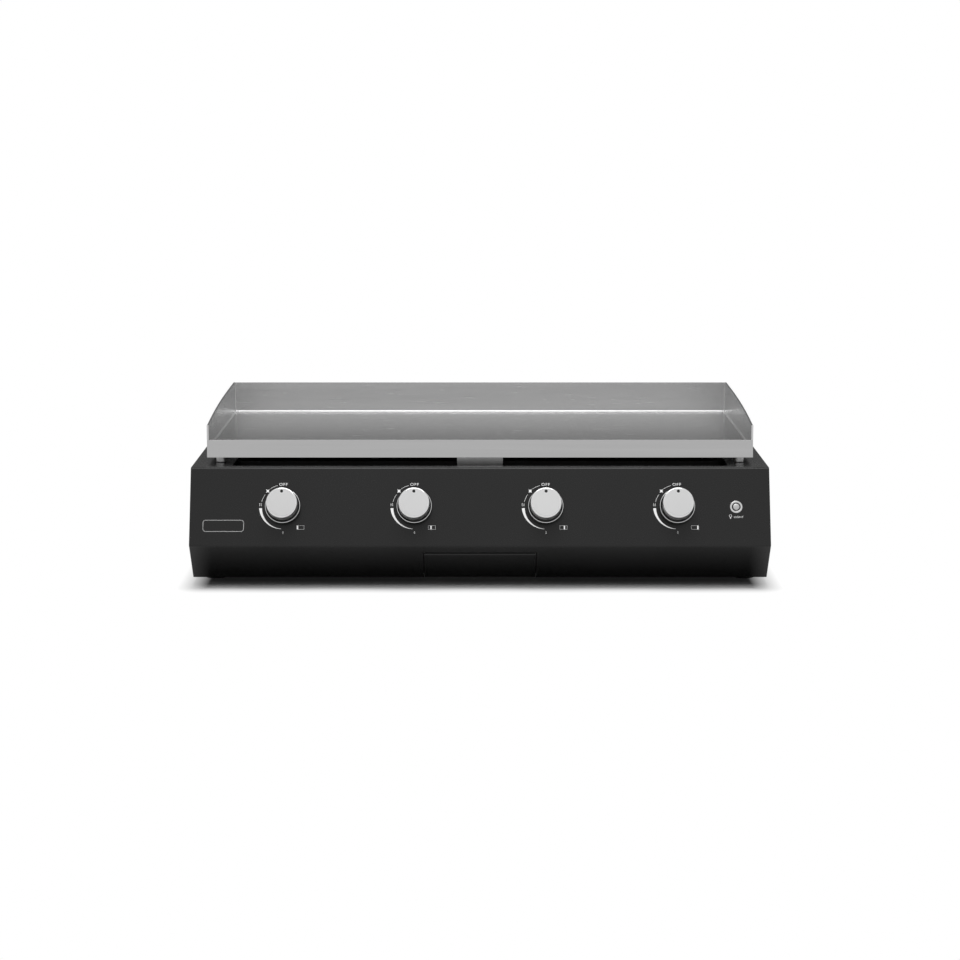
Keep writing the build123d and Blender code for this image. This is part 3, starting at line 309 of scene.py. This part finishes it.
# Burners: four tubes of aluminised steel stand in a deep-drawn heat shield, on a notched rail. Beside each
# is a ceramic spark electrode, fed by a silicone lead from the spark unit on its gas tap.
tube_steel = surface("burner_tube", ((0.30, 0.29, 0.28), (0.42, 0.41, 0.40)), (0.38, 0.5), 120.0,
                     stretch=(9.0, 1.0, 9.0), metal=1.0, bump=0.06)
glaze = surface("electrode_glaze", ((0.72, 0.70, 0.66), (0.82, 0.80, 0.76)), (0.15, 0.25), 400.0, bump=0.03)
moulded = surface("moulded_plastic", (0.014, 0.02), (0.42, 0.55), 600.0, bump=0.1, gloss=0.4)
silicone = surface("silicone_lead", ((0.25, 0.03, 0.02), (0.33, 0.05, 0.03)), (0.5, 0.65), 500.0, bump=0.08)
enamel = surface("black_enamel", (0.006, 0.012), (0.38, 0.5), 600.0, bump=0.06, gloss=0.25)
dress(enamel, "burner_tray", "burner_rail")
dress(tube_steel, "burner_1", "burner_2", "burner_3", "burner_4")
dress(glaze, "igniter_electrodes")
dress(moulded, "spark_units")
dress(silicone, "igniter_leads")


# Gas supply: a drawn steel manifold on two punched brackets feeds four brass taps. A pipe runs from it to
# a brass inlet fitting at the back, which is clamped by two hexagons and cut with a half-inch pipe thread.
inlet_bore = 0.005
bore_edge = 0.0005
tail = -0.0175
tail_edge = 0.0004
tail_taper = 0.00024
hexagon_half = 0.0132
hexagon_corner = 0.015
hexagon_turned = 0.0141
hexagon_edge = 0.0006
nut_behind = -0.0075
nut_front = -0.0015
thread_radius = 0.01044
thread_start = 0.006
thread_end = 0.0240
thread_pitch = 0.001814
thread_depth = 0.00116
thread_run_in = 0.0015
thread_run_out = 0.0004
point_length = 0.0012
point_depth = 0.0009


def inlet_skin(centre, face):
    """Rings along +Y whose radius depends on the distance and the angle: hexagons are the least of a circle
    and the distance to a flat side, and the thread is a triangle wave that advances one pitch a turn."""
    angle = np.linspace(0.0, 2.0 * math.pi, 96, endpoint=False)
    flat = hexagon_half / np.cos((angle + math.pi / 6.0) % (math.pi / 3.0) - math.pi / 6.0)
    hexagon = np.minimum(flat, hexagon_corner)
    turned = np.minimum(flat, hexagon_turned)
    bore = np.full_like(angle, inlet_bore)
    body = np.full_like(angle, thread_radius)
    along = np.linspace(thread_start, thread_end, 100)
    phase = (along[:, None] / thread_pitch - angle / (2.0 * math.pi)) % 1.0
    rise = np.clip((along - thread_start - hexagon_edge) / thread_run_in, 0.0, 1.0)
    fade = rise * np.clip((thread_end - along) / thread_run_out, 0.0, 1.0)
    cut = thread_depth * np.abs(2.0 * phase - 1.0) * fade[:, None]
    point = point_depth * np.clip((along - thread_end + point_length) / point_length, 0.0, 1.0)
    thread = body - cut - point[:, None]
    before = [
        (tail, bore), (tail, body - tail_taper), (tail + tail_edge, body),
        (nut_behind, body), (nut_behind, turned), (nut_behind + hexagon_edge, hexagon),
        (nut_front - hexagon_edge, hexagon), (nut_front, turned), (nut_front, body),
        (0.0, body), (0.0, turned), (hexagon_edge, hexagon),
        (thread_start - hexagon_edge, hexagon), (thread_start, turned),
    ]
    after = [(thread_end, bore + bore_edge), (thread_end - bore_edge, bore), (tail, bore)]
    station = np.concatenate([[row[0] for row in before], along, [row[0] for row in after]])
    radius = np.concatenate([[row[1] for row in before], thread, [row[1] for row in after]])
    x = centre[0] + radius * np.cos(angle)
    z = centre[1] + radius * np.sin(angle)
    y = face + station[:, None] + np.zeros_like(angle)
    return stack(np.stack([x, y, z], axis=-1), caps=False)


drawn_pipe = surface("drawn_pipe", (0.34, 0.44), (0.3, 0.42), 90.0, stretch=(1.0, 8.0, 8.0), metal=1.0,
                     bump=0.05)
brass = surface("turned_brass", ((0.62, 0.44, 0.18), (0.72, 0.53, 0.25)), (0.2, 0.34), 500.0, metal=1.0,
                bump=0.05)
dress(drawn_pipe, "gas_manifold", "gas_pipe")
dress(galvanised, "manifold_brackets")
for number in range(1, 5):
    dress(brass, f"tap_body_{number}", f"gas_plug_{number}", f"valve_stem_{number}")
low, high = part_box("gas_inlet")
inlet = inlet_skin(((low[0] + high[0]) / 2.0, (low[2] + high[2]) / 2.0), high[1] - thread_end)
made = piece("gas_inlet_threaded", [inlet], [brass], "housing", crease=30.0)
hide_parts("gas_inlet")


# Bezels: four black collars pressed into the panel's holes, each ten millimetres high with a polished
# half-round rim at its front. The knob stands in the collar and sinks into its cup when it is pushed.
rail_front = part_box("griddle_front_rail")[0][1]
panel_edge = rail_front - 0.043
lean = math.atan2(43.5, 111.0)
knob_row = 0.0605
knob_x = [-0.2919, -0.0973, 0.0973, 0.2919]
knob_sides = 128
stem_hole = 7.2
cup_floor = -6.2
cup_back = -7.0
cup_radius = 24.2
cup_round = 0.3
mouth_radius = 24.6
mouth_low = 9.2
mouth_high = 9.3
rim_radius = 25.35
rim_height = 9.35
rim_half = 0.65
collar_radius = 26.0
seat_radius = 25.0
seat_round = 0.4
coat_gap = 0.02


def on_panel(across, up, out):
    """Points on the leaning panel: across it along X, up its slope from the knobs' row, out of its face."""
    across, up, out = np.broadcast_arrays(across, up, out)
    down = knob_row - up
    y = panel_edge - down * math.sin(lean) - out * math.cos(lean)
    z = deck - down * math.cos(lean) + out * math.sin(lean)
    return np.stack([across, y, z], axis=-1)


def turned_skin(x, rings, sides=knob_sides):
    """Turned piece on the panel: each ring is a circle given by its radius, the offset of its centre up the
    slope and its height out of the face, all in millimetres."""
    radius, offset, out = np.array(rings).T[:, :, None] / 1000.0
    angle = np.linspace(0.0, 2.0 * math.pi, sides, endpoint=False)
    return stack(on_panel(x + radius * np.cos(angle), offset + radius * np.sin(angle), out), caps=False)


def bow(radius, height, half, start, end, steps):
    """Rings round a bead or a rounded edge: radius and height follow an arc between two angles."""
    turn = np.linspace(start, end, steps)
    return [(radius + half * math.cos(angle), 0.0, height + half * math.sin(angle)) for angle in turn]


polished = surface("polished_rim", (0.56, 0.64), (0.10, 0.18), 500.0, metal=1.0, bump=0.01)
cup_black = surface("cup_black", (0.014, 0.022), (0.4, 0.55), 700.0, bump=0.05, gloss=0.25)
cup = [
    (stem_hole, 0.0, cup_floor), (cup_radius - cup_round, 0.0, cup_floor),
    (cup_radius, 0.0, cup_floor + cup_round), (cup_radius, 0.0, mouth_low), (mouth_radius, 0.0, mouth_high),
]
rim = bow(rim_radius, rim_height, rim_half, math.pi, 0.0, 17)
collar = [
    (collar_radius, 0.0, coat_gap), (seat_radius, 0.0, coat_gap), (seat_radius, 0.0, cup_back + seat_round),
    (seat_radius - seat_round, 0.0, cup_back), (stem_hole, 0.0, cup_back), (stem_hole, 0.0, cup_floor),
]
bezel_rings = cup + rim + collar
bezel_bands = np.ones(len(bezel_rings) - 1, dtype=int)
bezel_bands[len(cup):len(cup) + len(rim) - 1] = 0
bezel_bands[len(cup) + len(rim) - 1] = 2
for number, x in enumerate(knob_x, start=1):
    made = piece(f"knob_bezel_{number}_pressed", [turned_skin(x, bezel_rings)],
                 [polished, cup_black, powder_black], "housing",
                 bands=np.repeat(bezel_bands, knob_sides))
    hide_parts(f"knob_bezel_{number}")


# Knobs: metal caps with a smooth, drafted skirt, a satin face rounded at its edge and a black sunk dot at
# the top. Each is hollow behind, with a boss that grips the stem.
knob_reach = 32.5
knob_radius = 23.0
edge_round = 2.0
dot_offset = 16.9
dot_radius = 2.3
dot_draft = 0.1
dot_depth = 0.55
skirt_radius = 23.18
skirt_end = 1.0
skirt_foot = 0.5
foot_edge = 0.05
foot_round = 0.3
wall_inside = 21.2
wall_draft = 0.3
hollow_end = 29.5
boss_radius = 6.5
stem_radius = 3.05
stem_end = 22.55


def between(start, end, steps):
    """Rings between two rings, spaced evenly in radius, offset and height."""
    return [tuple(np.array(start) + (np.array(end) - np.array(start)) * k / steps) for k in range(1, steps)]


satin = surface("knob_satin", (0.59, 0.67), (0.36, 0.46), 420.0, metal=0.65, bump=0.02)
edge_polish = surface("turned_edge", (0.60, 0.68), (0.12, 0.20), 700.0, metal=1.0, bump=0.01)
skirt_steel = surface("turned_skirt", (0.46, 0.54), (0.26, 0.34), 90.0, metal=1.0, bump=0.004)
dot_paint = surface("dot_paint", (0.006, 0.012), (0.4, 0.5), 800.0, bump=0.05, gloss=0.3)
dot_floor = knob_reach - dot_depth
dot = [(0.0, dot_offset, dot_floor), (dot_radius - dot_draft, dot_offset, dot_floor),
       (dot_radius, dot_offset, knob_reach)]
edge = bow(knob_radius - edge_round, knob_reach - edge_round, edge_round, math.pi / 2.0, 0.0, 13)
skirt = [
    (skirt_radius, 0.0, skirt_end + skirt_foot), (knob_radius, 0.0, skirt_end + foot_edge),
    (knob_radius - foot_round, 0.0, skirt_end), (wall_inside, 0.0, skirt_end),
    (wall_inside - wall_draft, 0.0, hollow_end),
]
hub = [(boss_radius, 0.0, hollow_end), (boss_radius, 0.0, skirt_end), (stem_radius, 0.0, skirt_end),
       (stem_radius, 0.0, stem_end), (0.0, 0.0, stem_end)]
face = between(dot[-1], edge[0], 8)
knob_rings = dot + face + edge + skirt + hub
knob_bands = np.ones(len(knob_rings) - 1, dtype=int)
knob_bands[:len(dot) + len(face)] = 0
knob_bands[:len(dot) - 1] = 2
knob_bands[len(dot) + len(face):len(dot) + len(face) + len(edge) - 1] = 3
for number, x in enumerate(knob_x, start=1):
    made = piece(f"knob_{number}_satin", [turned_skin(x, knob_rings)],
                 [satin, skirt_steel, dot_paint, edge_polish], f"knob_{number}",
                 bands=np.repeat(knob_bands, knob_sides))
    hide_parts(f"knob_{number}")


# Signs: silver foil hot-stamped on the powder coat round each knob. They show off at the top, the spark, the
# full flame, a wedge that thins to the low flame, and which of the four burners the knob serves.
foil_height = 0.00006
off_place = (0.2, 34.4)
off_size = (12.6, 4.1)
off_arc = (33.7, 104.5, 125.8)
spark_arc = (32.6, 144.5, 166.0)
arc_width = (0.45, 0.45)
spark_place = (-22.8, 24.3)
spark_points = 4
spark_radii = (3.5, 1.6)
full_flames = [(-34.6, 3.6), (-32.2, 3.6)]
full_flame_size = (4.2, 1.0)
full_flame_line = 0.3
wedge_arc = (33.2, 183.0, 266.0)
wedge_width = (4.2, 0.4)
low_flame = (0.4, -38.6)
low_flame_size = (3.6, 1.5)
low_flame_line = 0.25
burners_left = 20.8
burners_right = 31.6
burners_low = -33.8
burners_high = -28.2
burners_line = 0.22
burner_first = 21.25
burner_pitch = 2.7
burner_width = 1.8
burner_margin = 0.2


def flat_skin(x, outline):
    """Flat stamp: a closed outline in millimetres on the panel, as a ring on the coat and one above it."""
    across, up = np.array(outline).T / 1000.0
    out = np.array([[0.0], [foil_height]])
    return stack(on_panel(x + across[None, :], up[None, :], out))


def arc_skin(x, arc, width):
    """Stamped arc about the knob: its section is a flat box whose width goes evenly from one to another."""
    radius, start, end = arc
    steps = 40
    angle = np.radians(np.linspace(start, end, steps))[:, None]
    half = np.linspace(width[0], width[1], steps)[:, None] / 2.0
    spans = (radius + half * np.array([-1.0, 1.0, 1.0, -1.0])) / 1000.0
    out = foil_height * np.array([0.0, 0.0, 1.0, 1.0])
    return stack(on_panel(x + spans * np.cos(angle), spans * np.sin(angle), out))


def mitres(path):
    """Mitred normals to the right of a closed path: at each corner the two sides' normals are added, and
    lengthened so that both sides move by the same distance."""
    along = np.roll(path, -1, axis=0) - path
    along /= np.linalg.norm(along, axis=1)[:, None]
    before = np.roll(along, 1, axis=0)
    normal = np.stack([along[:, 1] + before[:, 1], -along[:, 0] - before[:, 0]], axis=1)
    return normal / (1.0 + np.sum(along * before, axis=1))[:, None]


def line_skin(x, outline, width):
    """Stamped closed line: a flat box section carried round an outline along its mitred normals."""
    path = np.array(outline)
    across = width / 2.0 * np.array([-1.0, 1.0, 1.0, -1.0])
    sides = path[:, None, :] + mitres(path)[:, None, :] * across[None, :, None]
    out = foil_height * np.array([0.0, 0.0, 1.0, 1.0])
    rings = on_panel(x + sides[..., 0] / 1000.0, sides[..., 1] / 1000.0, out)
    return stack(np.concatenate([rings, rings[:1]]), caps=False)


def star(centre, points, radii):
    """Outline of a spark: from the diagonal on, the radius goes to and fro between two values."""
    turn = math.pi / 4.0 + np.linspace(0.0, 2.0 * math.pi, 2 * points, endpoint=False)
    radius = np.where(np.arange(2 * points) % 2 == 0, radii[0], radii[1])
    return np.stack([centre[0] + radius * np.sin(turn), centre[1] + radius * np.cos(turn)], axis=1)


def flame(centre, size):
    """Outline of a flame: a drop whose half width is the sine of the turn times the sine of half of it."""
    widest = 1.54
    turn = np.linspace(0.0, 2.0 * math.pi, 28, endpoint=False)
    x = centre[0] + size[1] * np.sin(turn) * np.sin(turn / 2.0) / widest
    return np.stack([x, centre[1] + size[0] / 2.0 * np.cos(turn)], axis=1)


def box(left, right, low, high):
    """Outline of a rectangle."""
    return [(left, low), (right, low), (right, high), (left, high)]


def word_skin(x, centre, text, size):
    """Stamped word: a text outline spaced out and given a little thickness, made a mesh, scaled to its
    width and height in millimetres and laid on the panel about a point."""
    curve = bpy.data.curves.new(text, "FONT")
    curve.body = text
    curve.extrude = 0.01
    curve.space_character = 1.15
    curve.resolution_u = 4
    holder = bpy.data.objects.new(text, curve)
    scene.collection.objects.link(holder)
    mesh = holder.to_mesh()
    points = np.zeros(len(mesh.vertices) * 3)
    mesh.vertices.foreach_get("co", points)
    faces = [list(polygon.vertices) for polygon in mesh.polygons]
    holder.to_mesh_clear()
    bpy.data.objects.remove(holder)
    points = points.reshape(-1, 3)
    low = points.min(axis=0)
    span = points.max(axis=0) - low
    points = points - low - span * np.array([0.5, 0.5, 0.0])
    across = x + (centre[0] + points[:, 0] / span[0] * size[0]) / 1000.0
    up = (centre[1] + points[:, 1] / span[1] * size[1]) / 1000.0
    return on_panel(across, up, points[:, 2] / span[2] * foil_height), faces


foil = surface("sign_foil", (0.86, 0.94), (0.3, 0.4), 900.0, metal=0.75, bump=0.03, gloss=0.3)
for number, x in enumerate(knob_x, start=1):
    served = burner_first + (number - 1) * burner_pitch
    served_box = box(served, served + burner_width, burners_low + burner_margin, burners_high - burner_margin)
    signs = [
        word_skin(x, off_place, "OFF", off_size),
        arc_skin(x, off_arc, arc_width),
        flat_skin(x, star(spark_place, spark_points, spark_radii)),
        arc_skin(x, spark_arc, arc_width),
        *[line_skin(x, flame(centre, full_flame_size), full_flame_line) for centre in full_flames],
        arc_skin(x, wedge_arc, wedge_width),
        line_skin(x, flame(low_flame, low_flame_size), low_flame_line),
        line_skin(x, box(burners_left, burners_right, burners_low, burners_high), burners_line),
        flat_skin(x, served_box),
    ]
    piece(f"knob_sign_{number}", signs, [foil], "housing")


# Plate frame: a thin printed line with rounded corners low on the left of the panel. It is screened in a
# duller ink than the foil of the signs.
frame_place = (-379.8, -28.46)
frame_size = (60.1, 17.0)
frame_round = 4.0
frame_width = 0.9


def rounded(centre, size, radius):
    """Outline of a rectangle with round corners: a full turn of points, each quarter of it moved out to its
    own corner."""
    steps = 8
    turn = np.radians(np.concatenate([np.linspace(90.0 * k, 90.0 * (k + 1), steps) for k in range(4)]))
    corner = np.repeat([(1.0, 1.0), (-1.0, 1.0), (-1.0, -1.0), (1.0, -1.0)], steps, axis=0)
    arm = radius * np.stack([np.cos(turn), np.sin(turn)], axis=1)
    return np.array(centre) + corner * (np.array(size) / 2.0 - radius) + arm


plate_ink = surface("plate_ink", (0.60, 0.70), (0.45, 0.55), 900.0, bump=0.03, gloss=0.3)
frame_line = line_skin(0.0, rounded(frame_place, frame_size, frame_round), frame_width)
piece("plate_frame", [frame_line], [plate_ink], "housing")


# Light button: a chromed bush clamped by a nut behind the panel, with a dark groove round a sprung cap. A
# lamp sign is stamped below it, and a cloth-bound loom joins it to the battery case and the knob lights.
button_x = 0.3795
button_sides = 96
well_radius = 4.8
well_floor = -14.0
groove_floor = 0.6
ring_radius = 6.9
ring_height = 1.1
ring_half = 0.5
lip_radius = 8.5
lip_half = 0.8
flange_radius = 9.3
barrel_radius = 7.9
barrel_end = -20.0
cap_radius = 4.7
cap_height = 1.7
cap_crown = 0.7
cap_end = -10.0
turned_edge = 0.4
bulb_place = (-8.6, -13.4)
bulb_radius = 1.8
bulb_line = 0.45
bulb_bands = [(-9.5, -7.7, -16.6, -15.8), (-9.2, -8.0, -17.6, -16.9)]
light_place = (3.6, -15.1)
light_size = (14.0, 2.8)
chrome = surface("button_chrome", (0.52, 0.60), (0.08, 0.14), 500.0, metal=1.0, bump=0.01)
groove = [(0.0, 0.0, well_floor), (well_radius, 0.0, well_floor), (well_radius, 0.0, groove_floor),
          (ring_radius - ring_half, 0.0, groove_floor)]
ring = bow(ring_radius, ring_height, ring_half, math.pi, math.pi / 2.0, 7)
lip = bow(lip_radius, lip_half, lip_half, math.pi / 2.0, 0.0, 9)
barrel = [
    (flange_radius, 0.0, coat_gap), (barrel_radius, 0.0, coat_gap),
    (barrel_radius, 0.0, barrel_end + turned_edge), (barrel_radius - turned_edge, 0.0, barrel_end),
    (0.0, 0.0, barrel_end),
]
bush_rings = groove + ring + lip + barrel
bush_bands = np.zeros(len(bush_rings) - 1, dtype=int)
bush_bands[:len(groove)] = 1
bush_bands[len(groove) + len(ring) + len(lip):] = 1
bush = turned_skin(button_x, bush_rings, button_sides)
made = piece("button_bush", [bush], [chrome, cup_black], "housing",
             bands=np.repeat(bush_bands, button_sides))
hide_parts("button_housing")
crown = np.linspace(0.0, math.pi / 2.0, 14)
dome = [(cap_radius * math.sin(turn), 0.0, cap_height + cap_crown * math.cos(turn)) for turn in crown]
cap_rings = dome + [(cap_radius, 0.0, cap_end + turned_edge), (cap_radius - turned_edge, 0.0, cap_end),
                    (0.0, 0.0, cap_end)]
cap_finish = surface("button_cap_satin", (0.44, 0.54), (0.26, 0.36), 700.0, metal=0.7, bump=0.02)
made = piece("button_cap_domed", [turned_skin(button_x, cap_rings, button_sides)], [cap_finish],
             "light_button")
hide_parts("button_cap")
turn = np.linspace(0.0, 2.0 * math.pi, 32, endpoint=False)
bulb = np.array(bulb_place) + bulb_radius * np.stack([np.sin(turn), np.cos(turn)], axis=1)
lamp_sign = [
    line_skin(button_x, bulb, bulb_line),
    *[flat_skin(button_x, box(*band)) for band in bulb_bands],
    word_skin(button_x, light_place, "LIGHT", light_size),
]
piece("lamp_sign", lamp_sign, [foil], "housing")
cloth = surface("loom_cloth", (0.016, 0.03), (0.7, 0.85), 900.0, bump=0.4, gloss=0.2)
dress(zinc, "button_nut")
dress(moulded, "battery_case")
dress(cloth, "light_loom")


# Grease drawer: a folded front in the housing's black closes the chin's mouth, spot-welded to a stainless
# tray whose turned rims slide on two galvanised runners.
tray_steel = surface("tray_steel", (0.36, 0.46), (0.28, 0.4), 60.0, stretch=(9.0, 0.6, 9.0), metal=1.0,
                     bump=0.03)
dress(powder_black, "drawer_front")
dress(tray_steel, "drawer_tray")
dress(galvanised, "drawer_runner_left", "drawer_runner_right")


# Cooking plate: the floor and the back wall are bent from one 3 mm stainless plate, brushed along its length.
# The grease drain is cut out of the middle of its front edge.
lengthwise = (0.4, 14.0, 14.0)
thick = 0.003
bend = 0.0035
bend_land = 0.0005
crest_edge = 0.0004
drain_half = 0.031
drain_depth = 0.016
drain_side = 0.00001
low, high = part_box("griddle_pan")
back = high[1] - thick
top = low[2] + thick
crest = high[2]
half = high[0]


def run_skin(section, stations):
    """A closed section in Y and Z carried along X through a row of stations, filled at both ends."""
    rings = [np.column_stack([np.full(len(loop), x), loop]) for x, loop in zip(stations, section)]
    return stack(np.array(rings))


def quarter(centre, radius, start, end, steps):
    """Points on an arc between two angles in degrees."""
    turn = np.radians(np.linspace(start, end, steps))
    return np.stack([centre[0] + radius * np.cos(turn), centre[1] + radius * np.sin(turn)], axis=1)


def pan_loop(front):
    """Section of the plate: along the cooking floor, round the bend, up the wall and back underneath."""
    centre = (back - bend, top + bend)
    inside = quarter(centre, bend, -90.0, 0.0, 14)
    outside = quarter(centre, bend + thick, 0.0, -90.0, 14)
    foot = [(back, top + bend + bend_land)]
    wall = [(back, crest - crest_edge), (back + crest_edge, crest), (high[1] - crest_edge, crest),
            (high[1], crest - crest_edge)]
    flat = [(front, top), (back - bend - bend_land, top)]
    below = [(back - bend - bend_land, low[2]), (front, low[2])]
    return np.concatenate([flat, inside, foot, wall, outside, below])


floor_steel = surface("griddle_floor_steel", (0.44, 0.52), (0.22, 0.28), 60.0, stretch=lengthwise, metal=1.0,
                      bump=0.004)
whole = pan_loop(low[1])
drained = pan_loop(low[1] + drain_depth)
stations = [-half, -drain_half - drain_side, -drain_half, drain_half, drain_half + drain_side, half]
plate = run_skin([whole, whole, drained, drained, whole, whole], stations)
made = piece("griddle_pan_plate", [plate], [floor_steel], "griddle")
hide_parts("griddle_pan")


# Front rail: a polished stainless bar welded across the plate's front edge and over the ends of the two end
# walls. It leans back a little, which gives it one even tone.
rail_lean = math.tan(math.radians(4.5))
rail_edge = 0.0002
rail_steel = surface("griddle_rail_steel", (0.38, 0.44), (0.06, 0.10), 60.0, stretch=lengthwise, metal=1.0,
                     bump=0.01)
rail_low, rail_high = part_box("griddle_front_rail")
front, rear = rail_low[1] + rail_edge, rail_high[1] - rail_edge
bottom, upper = rail_low[2] + rail_edge, rail_high[2] - rail_edge
rail_loop = np.concatenate([
    quarter((front, upper), rail_edge, 180.0, 90.0, 5),
    quarter((rear, upper), rail_edge, 90.0, 0.0, 5),
    quarter((rear, bottom), rail_edge, 0.0, -90.0, 5),
    quarter((front, bottom), rail_edge, 270.0, 180.0, 5),
])
rail_loop[:, 0] += (rail_loop[:, 1] - rail_low[2]) * rail_lean
rail_ends = [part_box("griddle_side_left")[0][0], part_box("griddle_side_right")[1][0]]
made = piece("griddle_front_plate", [run_skin([rail_loop, rail_loop], rail_ends)], [rail_steel], "griddle")
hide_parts("griddle_front_rail")


# End walls: two stainless plates whose crest falls towards the front in one long curve. They are welded to
# the cooking plate and notched round the rail, brushed from front to back, with their edges broken.
crest_fall = 0.0165
crest_first = 0.0025
crest_second = 0.001
nose = 0.002
nose_bow = [(0.0, nose), (0.0003, 0.0009), (0.001, 0.0003)]
broken = 0.0006
broken_half = 0.0002
wall_steel = surface("griddle_wall_steel", (0.49, 0.57), (0.26, 0.34), 60.0, stretch=(14.0, 0.4, 14.0),
                     metal=1.0, bump=0.03)
edge_steps = [(broken, 0.0), (broken_half, broken_half), (0.0, broken)]
edge_steps += [(amount, thick - depth) for amount, depth in reversed(edge_steps)]


def crest_curve(low, high):
    """Crest of an end wall: a cubic curve over four points a third of the length apart, low at the front."""
    reach = (high[1] - low[1]) / 3.0
    start = np.array((low[1], high[2] - crest_fall))
    first = np.array((low[1] + reach, high[2] - crest_first))
    second = np.array((low[1] + 2.0 * reach, high[2] - crest_second))
    end = np.array((high[1], high[2]))
    way = np.linspace(0.0, 1.0, 40)[:, None]
    rest = 1.0 - way
    return start * rest ** 3 + 3.0 * first * way * rest ** 2 + 3.0 * second * way ** 2 * rest + end * way ** 3


for name in ("griddle_side_left", "griddle_side_right"):
    low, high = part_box(name)
    sweep = crest_curve(low, high)
    sweep = sweep[sweep[:, 0] > low[1] + nose]
    rounding = [(low[1] + along, sweep[0, 1] - down) for along, down in nose_bow]
    notch = [(low[1] + thick, low[2]), (low[1] + thick, rail_high[2]), (low[1], rail_high[2])]
    loop = np.concatenate([rounding, sweep, [(high[1], low[2])], notch])
    loops = [loop + mitres(loop) * amount for amount, depth in edge_steps]
    wall = run_skin(loops, [low[0] + depth for amount, depth in edge_steps])
    made = piece(name + "_plate", [wall], [wall_steel], "griddle", crease=20.0)
    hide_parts(name)


# Corner welds: the seams between the cooking plate and the end walls are filled with weld and dressed to a
# hollow round, which is wide on the floor and fine on the back wall.
weld_on_floor = 0.003
weld_on_wall = 0.001
weld_root = 0.1
weld_top_gap = 0.002


def cove_skin(x, inward):
    """Dressed weld: a hollow quarter-round section carried along the floor, round the bend and up the wall,
    where it is finer, and turned so that it touches the end wall and the plate."""
    path = np.concatenate([
        [(rail_high[1], top)], quarter((back - bend, top + bend), bend, -90.0, 0.0, 12),
        [(back, crest - weld_top_gap)],
    ])
    normal = np.concatenate([[(0.0, 1.0)], quarter((0.0, 0.0), 1.0, 90.0, 180.0, 12), [(-1.0, 0.0)]])
    hollow = quarter((1.0, 1.0), 1.0, 270.0, 180.0, 9)
    root = [(-weld_root, -weld_root), (1.0, -weld_root)]
    section = np.concatenate([root, hollow, [(-weld_root, 1.0)]])
    size = np.linspace(weld_on_floor, weld_on_wall, len(path))[:, None]
    across = x + inward * size * section[:, 0]
    out = path[:, None, :] + (size * section[:, 1])[..., None] * normal[:, None, :]
    return stack(np.concatenate([across[..., None], out], axis=-1))


coves = [cove_skin(-half, 1.0), cove_skin(half, -1.0)]
piece("griddle_corner_welds", coves, [wall_steel], "griddle")


# Griddle supports: four turned steel pegs are welded under the plate and stand on the housing's decks. Folded
# channels stiffen the plate, and a chute round the drain leads the grease to the drawer.
peg_steel = surface("peg_steel", (0.36, 0.46), (0.26, 0.36), 500.0, metal=1.0, bump=0.04)
dress(peg_steel, "griddle_pegs")
dress(tray_steel, "griddle_stiffeners", "grease_chute")
